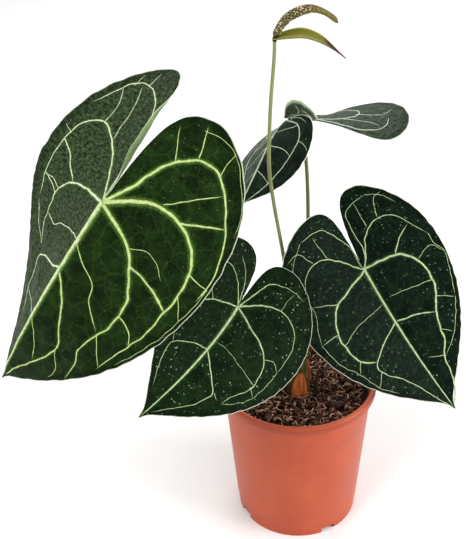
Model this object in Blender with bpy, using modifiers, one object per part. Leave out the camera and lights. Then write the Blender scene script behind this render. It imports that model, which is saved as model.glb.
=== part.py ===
"""Potted anthurium: a nursery pot of potting mix, a crown with four heart leaves, and one flower.

The origin is the centre of the pot's base, on the surface that the pot stands on.
Units are metres, +Z is up and -Y is the front.
"""
import math

import bmesh
import bpy
import numpy as np
from mathutils import Vector

# --- driving dimensions -------------------------------------------------------------------------
CLEAR = 0.0003              # gap that touching pieces keep

POT_HEIGHT = 0.120
POT_RIM_RADIUS = 0.060      # outside of the rim band
POT_FOOT_RADIUS = 0.047     # outside of the wall at the foot
POT_WALL = 0.0014
RIM_OVERHANG = 0.0042       # how far the rim band stands out from the wall
RIM_BAND = 0.0066           # height of the rim band
POT_PAD_RADIUS = 0.030      # flat disc under the pot, which it stands on
DRAIN_RISE = 0.0046         # height of the raised ring between the disc and the foot
NOTCH_ANGLES = (30.0, 120.0, 210.0, 300.0)   # from the front, towards +X
NOTCH_WIDTH = 0.0115
DRAIN_HOLE_RADIUS = 0.004
POT_STEPS = 48

MIX_DEPTH_BELOW_RIM = 0.011
MIX_CROWN = 0.003           # how much the mix heaps up in the middle

CROWN_RADIUS = 0.0095
CROWN_HEIGHT = 0.015
SEAT_EDGE = 0.0010          # from the outermost stalk's side to the edge of the crown's flat top
PETIOLE_RADIUS = 0.0018
STALK_GAP = 0.0020          # from a blade's underside to its stalk, for the fold between the halves
PEDUNCLE_RADIUS = 0.0013

BLADE_THICKNESS = 0.0009
SPATHE_LENGTH = 0.048
SPATHE_WIDTH = 0.011
SPADIX_RADIUS = 0.0027

# Half outline of a flat heart leaf, tip to sinus: (along the midrib, across it), for a leaf
# that is 1 long from where the stalk meets it to its tip.
HEART = ((1.0, 0.0), (0.93, 0.035), (0.80, 0.16), (0.62, 0.315), (0.42, 0.435), (0.20, 0.505),
         (-0.02, 0.52), (-0.22, 0.475), (-0.375, 0.37), (-0.455, 0.235), (-0.445, 0.115),
         (-0.36, 0.045), (-0.20, 0.012), (0.0, 0.0))
FAN_CENTRE = 0.15           # point on the midrib that the mesh fans out from
OUTLINE_STEPS = 24
FAN_RINGS = 5

# A leaf's place is where its stalk meets it, measured from the middle of the mix's top. heading,
# pitch and roll (degrees) aim the tip and the upper face. bend is how far the midrib has turned
# down at the tip (radians), early says how soon it turns, rear is the same for the two lobes and
# side turns the midrib in its own plane. Each half has a fold up from the midrib, with its change
# towards the tip and towards the lobes, the same three for its curl, and its lobe and width scale.
LEAVES = {
    "large": dict(place=(-0.1198, -0.0654, 0.1932), heading=-122, pitch=-47, roll=46,
                  length=0.1605, bend=0.83, early=-0.4, rear=0.33, side=0.04,
                  right=(-1.17, 0.08, -0.08, 0.92, -0.54, 0.54, 1.36, 1.38),
                  left=(0.23, -0.06, 0.06, -0.85, -0.09, 0.09, 1.06, 1.02)),
    "front": dict(place=(-0.0408, -0.0555, 0.1113), heading=-155, pitch=-16, roll=54,
                  length=0.0989, bend=0.53, early=0.3, rear=0.09, side=0.14,
                  right=(0.16, -0.14, 0.0, -0.75, 0.0, 0.0, 0.97, 0.88),
                  left=(0.36, 0.03, -0.03, -0.47, 0.02, -0.02, 1.12, 1.12)),
    "right": dict(place=(0.0480, 0.0139, 0.0977), heading=130, pitch=-51, roll=-32,
                  length=0.1237, bend=0.07, early=0.1, rear=-0.81, side=-0.16,
                  right=(0.40, -0.09, 0.09, -0.76, 0.0, 0.0, 1.00, 1.05),
                  left=(0.61, -0.30, 0.30, -0.49, -0.13, 0.13, 1.13, 0.91)),
    "back": dict(place=(-0.0014, 0.0740, 0.1908), heading=-60, pitch=-7, roll=-65,
                 length=0.0915, bend=1.65, early=12.0, rear=0.76, side=-0.05,
                 right=(0.75, 0.19, 1.04, 0.34, -0.04, -0.43, 1.95, 1.12),
                 left=(-0.82, -1.50, 0.95, 0.52, -0.14, 3.76, 0.65, 0.99), waist=0.66),
}

# Each stalk: bearing of its seat on the crown (degrees from the front, towards +X), how strongly
# it leaves upwards and how strongly it meets the blade square; sway bows it out to the right.
STALKS = {
    "large": dict(bearing=252.0, leave=0.12, meet=0.07),
    "front": dict(bearing=324.0, leave=0.10, meet=0.05),
    "right": dict(bearing=36.0, leave=0.10, meet=0.05),
    "back": dict(bearing=108.0, leave=0.16, meet=0.03, sway=0.040),
}
PEDUNCLE_BEARING = 180.0
# Way points of the flower stalk above its seat, measured from the middle of the mix's top.
PEDUNCLE_WAY = ((-0.003, 0.0100, 0.045), (-0.0064, 0.0120, 0.077), (-0.0092, 0.0105, 0.1040),
                (-0.0122, 0.0060, 0.1269), (-0.0170, 0.0015, 0.1600), (-0.0196, -0.0020, 0.188),
                (-0.0184, -0.003, 0.226), (-0.0158, 0.0, 0.258), (-0.0154, 0.0, 0.2685))
SPADIX_WAY = ((0.0, 0.0, 0.0), (0.0034, 0.0, 0.0055), (0.0074, 0.0004, 0.0096),
              (0.0124, 0.0008, 0.0123), (0.0178, 0.0010, 0.0140), (0.0232, 0.0010, 0.0142),
              (0.0292, 0.0008, 0.0122), (0.0345, 0.0004, 0.0088), (0.0376, 0.0, 0.0056))
STALK_POINTS = 18

CATAPHYLLS = (dict(bearing=8.0, height=0.024, spread=62.0, lean=0.10),
              dict(bearing=150.0, height=0.019, spread=70.0, lean=0.14),
              dict(bearing=262.0, height=0.021, spread=58.0, lean=0.12))
CATAPHYLL_THICKNESS = 0.0006

# Bits of bark on the mix: how far out as a share of the mix's radius, bearing from the front
# towards +X, length, width, height, and turn (angles in degrees).
BARK = ((0.68, 56.0, 0.010, 0.006, 0.0035, 20.0), (0.76, 327.0, 0.009, 0.006, 0.0032, 75.0),
        (0.79, 17.0, 0.008, 0.005, 0.0030, 140.0), (0.78, 104.0, 0.009, 0.005, 0.0032, 100.0),
        (0.74, 246.0, 0.010, 0.006, 0.0034, 40.0), (0.70, 167.0, 0.011, 0.006, 0.0036, 10.0))

# Base colour (linear) and roughness.
POT_LOOK = ((0.560, 0.150, 0.070), 0.45)
MIX_LOOK = ((0.045, 0.025, 0.018), 0.95)
BARK_LOOK = ((0.060, 0.030, 0.018), 0.90)
CROWN_LOOK = ((0.130, 0.100, 0.040), 0.70)
SHEATH_LOOK = ((0.420, 0.160, 0.050), 0.65)
ROOT_LOOK = ((0.035, 0.022, 0.016), 0.85)
BLADE_LOOK = ((0.020, 0.060, 0.018), 0.42)
STALK_LOOK = ((0.190, 0.220, 0.060), 0.45)
SPATHE_LOOK = ((0.300, 0.300, 0.040), 0.45)
SPADIX_LOOK = ((0.200, 0.130, 0.040), 0.60)

# --- sizes that follow --------------------------------------------------------------------------
WALL_TOP_RADIUS = POT_RIM_RADIUS - RIM_OVERHANG
WALL_SLOPE = (WALL_TOP_RADIUS - POT_FOOT_RADIUS) / (POT_HEIGHT - RIM_BAND)
MIX_TOP = POT_HEIGHT - MIX_DEPTH_BELOW_RIM
MIX_BOTTOM = DRAIN_RISE + POT_WALL + CLEAR
MIX_WALL = POT_WALL + CLEAR + 0.0004
MIX_RADIUS = POT_FOOT_RADIUS + WALL_SLOPE * (MIX_TOP - MIX_CROWN) - MIX_WALL
CROWN_FLAT = CROWN_RADIUS * 0.86
SEAT_RING = CROWN_FLAT - PETIOLE_RADIUS - SEAT_EDGE


def material(name, colour, roughness):
    """A plain Principled BSDF. Nothing on the plant or its pot is metal."""
    made = bpy.data.materials.new(name)
    made.use_nodes = True
    shader = made.node_tree.nodes["Principled BSDF"]
    shader.inputs["Base Color"].default_value = (*colour, 1.0)
    shader.inputs["Roughness"].default_value = roughness
    shader.inputs["Metallic"].default_value = 0.0
    return made


def keep(ob, collection, look):
    """Put an object in a collection with a material of its own, of the colour and roughness given."""
    for owner in list(ob.users_collection):
        owner.objects.unlink(ob)
    collection.objects.link(ob)
    ob.data.materials.clear()
    ob.data.materials.append(material(ob.name, *look))
    return ob


def mesh_object(name, bm, collection, look):
    """Turn a bmesh into a smooth shaded object."""
    mesh = bpy.data.meshes.new(name)
    bm.to_mesh(mesh)
    bm.free()
    mesh.shade_smooth()
    mesh.set_sharp_from_angle(angle=math.radians(40))
    ob = bpy.data.objects.new(name, mesh)
    return keep(ob, collection, look)


def turned(name, profile, steps, collection, look):
    """Turn a profile of (radius, height) about Z with the Screw modifier."""
    mesh = bpy.data.meshes.new(name)
    points = [(radius, 0.0, height) for radius, height in profile]
    edges = [(i, i + 1) for i in range(len(points) - 1)]
    mesh.from_pydata(points, edges, [])
    ob = keep(bpy.data.objects.new(name, mesh), collection, look)
    screw = ob.modifiers.new("turn", "SCREW")
    screw.angle = math.tau
    screw.steps = steps
    screw.render_steps = steps
    screw.use_merge_vertices = True
    screw.merge_threshold = 0.00001
    screw.use_smooth_shade = True
    return ob


def smooth_line(points, count):
    """Catmull-Rom curve through the points, read at count even steps."""
    way = np.asarray(points, float)
    way = np.vstack([2 * way[0] - way[1], way, 2 * way[-1] - way[-2]])
    spot = np.linspace(0, len(points) - 1 - 1e-9, count)
    at = spot.astype(int)
    t = (spot - at)[:, None]
    a, b, c, d = way[at], way[at + 1], way[at + 2], way[at + 3]
    return 0.5 * (2 * b + (c - a) * t + (2 * a - 5 * b + 4 * c - d) * t ** 2
                  + (3 * b - a - 3 * c + d) * t ** 3)


def tube(name, points, radius, collection, look, taper=None):
    """A round stalk: a POLY curve with a bevel and filled caps."""
    curve = bpy.data.curves.new(name, "CURVE")
    curve.dimensions = "3D"
    curve.bevel_depth = radius
    curve.bevel_resolution = 2
    curve.use_fill_caps = True
    curve.twist_mode = "MINIMUM"
    spline = curve.splines.new("POLY")
    spline.points.add(len(points) - 1)
    for i, (point, place) in enumerate(zip(spline.points, points)):
        point.co = (*place, 1.0)
        point.radius = taper[i] if taper is not None else 1.0
    return keep(bpy.data.objects.new(name, curve), collection, look)


# --- pot and mix --------------------------------------------------------------------------------
def pot_profile():
    """Half section of the pot, from the middle of its floor over the rim to the middle below."""
    floor = DRAIN_RISE + POT_WALL
    step = POT_PAD_RADIUS + POT_WALL
    top = POT_HEIGHT
    band_foot = top - RIM_BAND
    inner_top = WALL_TOP_RADIUS - POT_WALL
    inner_foot = POT_FOOT_RADIUS - POT_WALL
    under = WALL_TOP_RADIUS + 0.0002
    return [(0.0, POT_WALL), (POT_PAD_RADIUS - POT_WALL, POT_WALL), (POT_PAD_RADIUS, floor),
            (inner_foot + 0.0006, floor), (inner_top, band_foot - 0.001),
            (inner_top + 0.0012, band_foot + 0.001), (inner_top + 0.0014, top - 0.0010),
            (inner_top + 0.0024, top), (POT_RIM_RADIUS - 0.0010, top),
            (POT_RIM_RADIUS, top - 0.0010), (POT_RIM_RADIUS - 0.0004, band_foot),
            (POT_RIM_RADIUS - 0.0004 - POT_WALL, band_foot),
            (POT_RIM_RADIUS - POT_WALL, top - 0.0010 - POT_WALL),
            (under + 0.0016, top - 0.0010 - POT_WALL), (under, band_foot - 0.0016),
            (POT_FOOT_RADIUS + 0.0012, 0.0118), (POT_FOOT_RADIUS + 0.0004, 0.0108),
            (POT_FOOT_RADIUS, 0.0), (inner_foot, 0.0), (inner_foot, DRAIN_RISE),
            (step, DRAIN_RISE), (step - POT_WALL, 0.0), (0.0, 0.0)]


def cutter(bm_fill, name, guides):
    """A hidden cutting solid."""
    bm = bmesh.new()
    bm_fill(bm)
    mesh = bpy.data.meshes.new(name)
    bm.to_mesh(mesh)
    bm.free()
    ob = bpy.data.objects.new(name, mesh)
    guides.objects.link(ob)
    ob.hide_render = True
    ob.display_type = "WIRE"
    return ob


def cut(ob, tool):
    """Take the tool's shape out of the object."""
    boolean = ob.modifiers.new("cut_" + tool.name, "BOOLEAN")
    boolean.operation = "DIFFERENCE"
    boolean.solver = "EXACT"
    boolean.object = tool


def make_pot(parts, guides, look):
    """The pot, with a notch through its foot and a drain hole beside each notch."""
    pot = turned("pot", pot_profile(), POT_STEPS, parts, look)
    hole_place = (POT_PAD_RADIUS + POT_FOOT_RADIUS) / 2
    for number, angle in enumerate(NOTCH_ANGLES, 1):
        turn = math.radians(angle)
        out = Vector((math.sin(turn), -math.cos(turn), 0.0))
        notch = cutter(lambda bm: bmesh.ops.create_cube(bm, size=1.0), f"notch_{number}", guides)
        notch.scale = (NOTCH_WIDTH, 0.008, 2 * (DRAIN_RISE - 0.0003))
        notch.location = out * (POT_FOOT_RADIUS - 0.0005)
        notch.rotation_euler = (0.0, 0.0, turn)
        cut(pot, notch)
        hole = cutter(lambda bm: bmesh.ops.create_cone(
            bm, cap_ends=True, segments=16, radius1=DRAIN_HOLE_RADIUS, radius2=DRAIN_HOLE_RADIUS,
            depth=4 * POT_WALL), f"drain_{number}", guides)
        hole.location = out * hole_place + Vector((0.0, 0.0, DRAIN_RISE + POT_WALL / 2))
        cut(pot, hole)
    return pot


def mix_height(radius):
    """Height of the mix's top: a low heap that is flat under the crown."""
    reach = max(0.0, radius - CROWN_RADIUS) / (MIX_RADIUS - CROWN_RADIUS)
    return MIX_TOP - MIX_CROWN * min(1.0, reach) ** 1.5


def make_mix(parts, look):
    """The potting mix with its roots: one turned plug, a clearance inside the wall and floor."""
    bottom_radius = POT_FOOT_RADIUS + WALL_SLOPE * MIX_BOTTOM - MIX_WALL
    rings = np.linspace(0.0, MIX_RADIUS, 6)
    rings[1] = CROWN_RADIUS
    profile = [(float(r), mix_height(float(r))) for r in rings[:-1]]
    profile += [(MIX_RADIUS, MIX_TOP - MIX_CROWN), (bottom_radius, MIX_BOTTOM),
                (POT_PAD_RADIUS - 2 * CLEAR, MIX_BOTTOM),
                (POT_PAD_RADIUS - POT_WALL - 2 * CLEAR, POT_WALL + CLEAR),
                (0.0, POT_WALL + CLEAR)]
    return turned("potting_mix", profile, POT_STEPS, parts, look)


def make_bark(parts, look):
    """Bits of bark that lie on the mix: squashed ico spheres."""
    for number, (share, bearing, length, width, height, turn) in enumerate(BARK, 1):
        out = share * MIX_RADIUS
        bm = bmesh.new()
        bmesh.ops.create_icosphere(bm, subdivisions=1, radius=0.5)
        bmesh.ops.scale(bm, vec=(length, width, height), verts=bm.verts)
        chip = mesh_object(f"bark_chip_{number}", bm, parts, look)
        angle = math.radians(bearing)
        chip.location = (out * math.sin(angle), -out * math.cos(angle),
                         mix_height(out - length / 2) + height / 2 + CLEAR)
        chip.rotation_euler = (0.0, 0.0, math.radians(turn))


# --- leaves -------------------------------------------------------------------------------------
def leaf_axes(leaf):
    """Unit vectors of a leaf at its stalk: to the tip, to the right half, out of the upper face."""
    heading, pitch, roll = (math.radians(leaf[k]) for k in ("heading", "pitch", "roll"))
    tip = np.array([math.sin(heading) * math.cos(pitch), math.cos(heading) * math.cos(pitch),
                    math.sin(pitch)])
    level = np.array([math.cos(heading), -math.sin(heading), 0.0])
    raised = np.cross(level, tip)
    right = math.cos(roll) * level + math.sin(roll) * raised
    return tip, right, np.cross(right, tip)


def midrib(leaf, along):
    """Place and direction angles of the bent midrib at a distance along it, for a length of 1."""
    grid = np.linspace(-0.9, 1.05, 391)
    share = (1 - np.exp(-leaf["early"] * np.maximum(grid, 0))) / (1 - math.exp(-leaf["early"]))
    dip = np.where(grid >= 0, -leaf["bend"] * share, -leaf["rear"] * grid)
    swing = leaf["side"] * np.maximum(grid, 0)
    slopes = (np.cos(dip) * np.cos(swing), np.cos(dip) * np.sin(swing), np.sin(dip))
    step = grid[1] - grid[0]
    places = []
    for slope in slopes:
        run = np.concatenate([[0], np.cumsum((slope[1:] + slope[:-1]) / 2) * step])
        places.append(np.interp(along, grid, run - np.interp(0, grid, run)))
    return places, np.interp(along, grid, dip), np.interp(along, grid, swing)


def blade_surface(leaf, along, across):
    """Upper face of a blade: the flat leaf, bent along its midrib, folded and curled across it. A
    waist narrows the left half beside the stalk."""
    right_half = across >= 0
    shape = [np.where(right_half, r, l) for r, l in zip(leaf["right"], leaf["left"])]
    fold, fold_front, fold_rear, curl, curl_front, curl_rear, lobe, width = shape
    along = np.where(along < 0, along * lobe, along)
    waist = leaf.get("waist", 0.0) * np.exp(-((along - 0.02) / 0.15) ** 2)
    reach = np.abs(across) * width * (1 - np.where(right_half, 0.0, waist))
    front, back = np.maximum(along, 0), np.maximum(-along, 0)
    fold = fold + fold_front * front + fold_rear * back
    curl = curl + curl_front * front + curl_rear * back
    curl = np.where(np.abs(curl) < 1e-4, 1e-4, curl)
    out = (np.sin(fold + curl * reach) - np.sin(fold)) / curl
    up = (np.cos(fold) - np.cos(fold + curl * reach)) / curl
    (x, y, z), dip, swing = midrib(leaf, along)
    tip, right, face = leaf_axes(leaf)
    ahead = (np.outer(np.cos(dip) * np.cos(swing), tip) + np.outer(np.cos(dip) * np.sin(swing), right)
             + np.outer(np.sin(dip), face))
    aside = np.outer(-np.sin(swing), tip) + np.outer(np.cos(swing), right)
    above = np.cross(aside, ahead)
    sign = np.where(right_half, 1.0, -1.0)
    spine = np.outer(x, tip) + np.outer(y, right) + np.outer(z, face)
    shape = spine + (sign * out)[:, None] * aside + up[:, None] * above
    return leaf_place(leaf) + leaf["length"] * shape


def leaf_place(leaf):
    """Where the stalk meets the blade, in the pot's frame."""
    return np.array(leaf["place"]) + np.array([0.0, 0.0, MIX_TOP])


def make_blade(name, leaf, parts, look):
    """A blade: a grid laid out as a fan inside the heart outline, bent, and given a thickness."""
    half = smooth_line(HEART, OUTLINE_STEPS)
    outline = np.vstack([half, (half * [1, -1])[::-1][1:-1]])
    outline = np.vstack([outline, outline[:1]])
    bm = bmesh.new()
    bmesh.ops.create_grid(bm, x_segments=len(outline) - 1, y_segments=FAN_RINGS, size=0.5)
    corners = np.array([vert.co for vert in bm.verts])
    spoke = np.rint((corners[:, 0] + 0.5) * (len(outline) - 1)).astype(int)
    ring = (corners[:, 1] + 0.5)[:, None]
    centre = np.array([FAN_CENTRE, 0.0])
    flat = centre + (outline[spoke] - centre) * ring
    right_side = spoke < len(half)
    across = np.where(right_side, np.maximum(flat[:, 1], 0.0), np.minimum(flat[:, 1], -1e-9))
    places = blade_surface(leaf, flat[:, 0], across)
    for vert, place in zip(bm.verts, places):
        vert.co = place
    bmesh.ops.remove_doubles(bm, verts=bm.verts, dist=0.00001)
    blade = mesh_object(name, bm, parts, look)
    solid = blade.modifiers.new("thickness", "SOLIDIFY")
    solid.thickness = BLADE_THICKNESS
    solid.offset = -1.0
    return blade


def seat(bearing):
    """Centre of a stalk's foot on the crown's flat top."""
    turn = math.radians(bearing)
    return np.array([SEAT_RING * math.sin(turn), -SEAT_RING * math.cos(turn),
                     MIX_TOP + CROWN_HEIGHT + 2 * CLEAR])


def make_petiole(name, leaf, stalk, parts, look):
    """A leaf stalk: a cubic from its seat on the crown to just under the blade."""
    foot = seat(stalk["bearing"])
    start = foot + [0.0, 0.0, 2 * PETIOLE_RADIUS]
    face = underside_normal(leaf)
    end = leaf_place(leaf) - face * (BLADE_THICKNESS + STALK_GAP)
    leave = np.array([0.0, 0.0, stalk["leave"]])
    meet = face * stalk["meet"] - np.array([stalk.get("sway", 0.0), 0.0, 0.0])
    t = np.linspace(0.0, 1.0, STALK_POINTS)[:, None]
    line = ((2 * t ** 3 - 3 * t ** 2 + 1) * start + (t ** 3 - 2 * t ** 2 + t) * leave
            + (3 * t ** 2 - 2 * t ** 3) * end + (t ** 3 - t ** 2) * meet)
    return tube(name, np.vstack([foot, line]), PETIOLE_RADIUS, parts, look)


def underside_normal(leaf):
    """Direction out of the upper face just in front of the stalk, midway between the halves."""
    spots = blade_surface(leaf, np.array([0.0, 0.06, 0.03, 0.03]), np.array([0.0, 0.0, 0.05, -0.05]))
    normal = np.cross(spots[2] - spots[3], spots[1] - spots[0])
    return normal / np.linalg.norm(normal)


# --- flower, crown and sheaths ------------------------------------------------------------------
def make_flower(parts, stalk_look, spathe_look, spadix_look):
    """The flower: its stalk, the spathe below the spike, and the spike."""
    top = np.array([0.0, 0.0, MIX_TOP])
    foot = seat(PEDUNCLE_BEARING)
    way = [foot, foot + [0.0, 0.0, 0.012]] + [top + np.array(point) for point in PEDUNCLE_WAY]
    line = smooth_line(way, 30)
    tube("peduncle", line, PEDUNCLE_RADIUS, parts, stalk_look)
    head = line[-1] + np.array([0.0, 0.0, PEDUNCLE_RADIUS])
    make_spathe(head, parts, spathe_look)
    foot_of_spike = head + np.array([0.0010, 0.0, 0.0047])
    spike = smooth_line([foot_of_spike + np.array(point) for point in SPADIX_WAY], 20)
    share = np.linspace(0.0, 1.0, 20)
    taper = (0.80 + 0.35 * np.sin(math.pi * np.minimum(share * 1.3, 1.0)) - 0.12 * share)
    taper = taper * np.sqrt(np.clip((1.03 - share) / 0.10, 0.05, 1.0))
    tube("spadix", spike, SPADIX_RADIUS, parts, spadix_look, taper)


def make_spathe(head, parts, look):
    """The spathe: a long pointed leaf that cups the stalk's top and hangs over to the side."""
    bm = bmesh.new()
    bmesh.ops.create_grid(bm, x_segments=18, y_segments=6, size=0.5)
    spots = np.array([vert.co for vert in bm.verts])
    along = spots[:, 0] + 0.5
    across = spots[:, 1] * 2
    half_width = SPATHE_WIDTH / 2 * (0.14 + 0.86 * np.sin(math.pi * along ** 0.8) ** 0.85)
    half_width = half_width * np.where(along > 0.7, 1 - 0.75 * (along - 0.7) / 0.3, 1.0)
    drop = -0.013 * np.maximum(0, along - 0.35) ** 1.7 / 0.65 ** 1.7
    x = SPATHE_LENGTH * along * 0.95 - 0.0015
    y = half_width * across
    z = drop + 0.0016 * np.sin(math.pi * along) + 0.0022 * across ** 2 * half_width / SPATHE_WIDTH * 2
    places = head + np.array([0.0, 0.0, 2 * CLEAR + BLADE_THICKNESS]) + np.stack([x, y, z], axis=1)
    for vert, place in zip(bm.verts, places):
        vert.co = place
    spathe = mesh_object("spathe", bm, parts, look)
    solid = spathe.modifiers.new("thickness", "SOLIDIFY")
    solid.thickness = BLADE_THICKNESS
    solid.offset = -1.0


def make_crown(parts, look):
    """The short stem that every stalk grows from, standing on the mix."""
    foot = MIX_TOP + CLEAR
    top = foot + CROWN_HEIGHT
    profile = [(0.0, top), (CROWN_FLAT, top), (CROWN_RADIUS * 0.95, top - 0.0015),
               (CROWN_RADIUS, top - 0.006), (CROWN_RADIUS * 0.95, foot + 0.002),
               (CROWN_RADIUS * 0.9, foot), (0.0, foot)]
    turned("crown_stem", profile, 24, parts, look)


def make_cataphylls(parts, look):
    """Dry papery sheaths that stand around the crown, each a strip of a leaning cone."""
    for number, sheath in enumerate(CATAPHYLLS, 1):
        bm = bmesh.new()
        bmesh.ops.create_grid(bm, x_segments=6, y_segments=6, size=0.5)
        spots = np.array([vert.co for vert in bm.verts])
        up = spots[:, 1] + 0.5
        side = spots[:, 0] * (1 - 0.8 * up ** 2)
        turn = np.radians(sheath["bearing"] + sheath["spread"] * side)
        radius = CROWN_RADIUS + CLEAR + 0.0004 + sheath["height"] * sheath["lean"] * up
        radius = radius + CATAPHYLL_THICKNESS
        height = MIX_TOP + 2 * CLEAR + sheath["height"] * up
        for vert, a, r, z in zip(bm.verts, turn, radius, height):
            vert.co = (r * math.sin(a), -r * math.cos(a), z)
        ob = mesh_object(f"cataphyll_{number}", bm, parts, look)
        solid = ob.modifiers.new("thickness", "SOLIDIFY")
        solid.thickness = CATAPHYLL_THICKNESS
        solid.offset = 0.0


def make_root(parts, look):
    """A dark aerial root that stands beside the crown."""
    reach = CROWN_RADIUS + CATAPHYLL_THICKNESS + 0.0052
    turn = math.radians(62.0)
    out = np.array([math.sin(turn), -math.cos(turn), 0.0])
    foot = out * reach + np.array([0.0, 0.0, mix_height(reach - 0.002) + CLEAR])
    way = [foot, foot + [0.0, 0.0, 0.008], foot + out * 0.001 + [0.0, 0.0, 0.016],
           foot + out * 0.0025 + [0.0, 0.0, 0.023]]
    taper = np.linspace(1.0, 0.55, 8)
    tube("aerial_root", smooth_line(way, 8), 0.0019, parts, look, taper)


def main():
    for ob in list(bpy.data.objects):
        bpy.data.objects.remove(ob, do_unlink=True)
    parts = bpy.data.collections.new("potted_anthurium")
    guides = bpy.data.collections.new("cutters")
    bpy.context.scene.collection.children.link(parts)
    bpy.context.scene.collection.children.link(guides)

    make_pot(parts, guides, POT_LOOK)
    make_mix(parts, MIX_LOOK)
    make_bark(parts, BARK_LOOK)
    make_crown(parts, CROWN_LOOK)
    make_cataphylls(parts, SHEATH_LOOK)
    make_root(parts, ROOT_LOOK)
    for key, leaf in LEAVES.items():
        make_blade(f"leaf_{key}_blade", leaf, parts, BLADE_LOOK)
        make_petiole(f"leaf_{key}_petiole", leaf, STALKS[key], parts, STALK_LOOK)
    make_flower(parts, STALK_LOOK, SPATHE_LOOK, SPADIX_LOOK)


main()
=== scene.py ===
"""The looks of a potted anthurium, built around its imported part.

Units are metres, +Z is up and -Y is the front. The origin is the centre of the pot's base.
Leaf coordinates are (along, across): 1 along is the distance from the stalk to the tip.
"""

import math

import bpy
import numpy as np
from mathutils import Matrix, Vector


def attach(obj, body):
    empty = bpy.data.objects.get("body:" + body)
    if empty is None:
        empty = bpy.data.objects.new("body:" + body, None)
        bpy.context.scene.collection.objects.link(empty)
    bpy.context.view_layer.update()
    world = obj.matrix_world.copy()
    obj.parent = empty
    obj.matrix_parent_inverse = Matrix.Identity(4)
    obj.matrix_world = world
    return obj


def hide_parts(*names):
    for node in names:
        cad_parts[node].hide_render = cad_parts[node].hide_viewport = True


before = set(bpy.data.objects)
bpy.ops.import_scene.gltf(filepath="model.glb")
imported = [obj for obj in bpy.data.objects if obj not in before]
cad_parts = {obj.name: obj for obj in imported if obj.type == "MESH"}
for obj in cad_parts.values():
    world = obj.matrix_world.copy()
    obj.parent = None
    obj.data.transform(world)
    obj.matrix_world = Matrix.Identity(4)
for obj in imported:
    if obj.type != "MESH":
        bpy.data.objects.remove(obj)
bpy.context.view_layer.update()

# --- sizes of the part --------------------------------------------------------------------------
CLEAR = 0.0003
POT_HEIGHT = 0.120
POT_RIM_RADIUS = 0.060
POT_FOOT_RADIUS = 0.047
POT_WALL = 0.0014
RIM_OVERHANG = 0.0042
RIM_BAND = 0.0066
POT_PAD_RADIUS = 0.030
DRAIN_RISE = 0.0046
NOTCH_ANGLES = (30.0, 120.0, 210.0, 300.0)
NOTCH_WIDTH = 0.0115
DRAIN_HOLE_RADIUS = 0.004
MIX_DEPTH_BELOW_RIM = 0.011
MIX_CROWN = 0.003
CROWN_RADIUS = 0.0095
CROWN_HEIGHT = 0.015
SEAT_EDGE = 0.0010
PETIOLE_RADIUS = 0.0018
PEDUNCLE_RADIUS = 0.0013
BLADE_THICKNESS = 0.0009
STALK_GAP = 0.0020
SPATHE_LENGTH = 0.048
SPATHE_WIDTH = 0.011
SPADIX_RADIUS = 0.0027
HEART = ((1.0, 0.0), (0.93, 0.035), (0.80, 0.16), (0.62, 0.315), (0.42, 0.435), (0.20, 0.505),
         (-0.02, 0.52), (-0.22, 0.475), (-0.375, 0.37), (-0.455, 0.235), (-0.445, 0.115),
         (-0.36, 0.045), (-0.20, 0.012), (0.0, 0.0))
FAN_CENTRE = 0.15
ROLL_BAND = 0.0044
ROLL_RADIUS = 0.0017
# Each leaf: where its stalk meets it (above the mix), how it points, its length, its bend along the
# midrib (early: how soon; rear: of the lobes; side: sideways), and for each half the fold and the
# curl, each with its change to the front and to the rear, then the lobe's and the width's factors.
LEAVES = {
    "large": dict(place=(-0.1198, -0.0654, 0.1932), heading=-122, pitch=-47, roll=46,
                  length=0.1605, bend=0.83, early=-0.4, rear=0.33, side=0.04,
                  right=(-1.17, 0.08, -0.08, 0.92, -0.54, 0.54, 1.36, 1.38),
                  left=(0.23, -0.06, 0.06, -0.85, -0.09, 0.09, 1.06, 1.02)),
    "front": dict(place=(-0.0408, -0.0555, 0.1113), heading=-155, pitch=-16, roll=54,
                  length=0.0989, bend=0.53, early=0.3, rear=0.09, side=0.14,
                  right=(0.16, -0.14, 0.0, -0.75, 0.0, 0.0, 0.97, 0.88),
                  left=(0.36, 0.03, -0.03, -0.47, 0.02, -0.02, 1.12, 1.12)),
    "right": dict(place=(0.0480, 0.0139, 0.0977), heading=130, pitch=-51, roll=-32,
                  length=0.1237, bend=0.07, early=0.1, rear=-0.81, side=-0.16,
                  right=(0.40, -0.09, 0.09, -0.76, 0.0, 0.0, 1.00, 1.05),
                  left=(0.61, -0.30, 0.30, -0.49, -0.13, 0.13, 1.13, 0.91)),
    "back": dict(place=(-0.0014, 0.0740, 0.1908), heading=-60, pitch=-7, roll=-65,
                 length=0.0915, bend=1.65, early=12.0, rear=0.76, side=-0.05,
                 right=(0.75, 0.19, 1.04, 0.34, -0.04, -0.43, 1.95, 1.12),
                 left=(-0.82, -1.50, 0.95, 0.52, -0.14, 3.76, 0.65, 0.99), waist=0.66),
}
# Each leaf's stalk: its bearing on the crown, how strongly it leaves upwards, how strongly it meets
# the blade square, and a sway that bows it out to the right.
STALKS = {
    "large": dict(bearing=252.0, leave=0.12, meet=0.07),
    "front": dict(bearing=324.0, leave=0.10, meet=0.05),
    "right": dict(bearing=36.0, leave=0.10, meet=0.05),
    "back": dict(bearing=108.0, leave=0.16, meet=0.03, sway=0.040),
}
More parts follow.
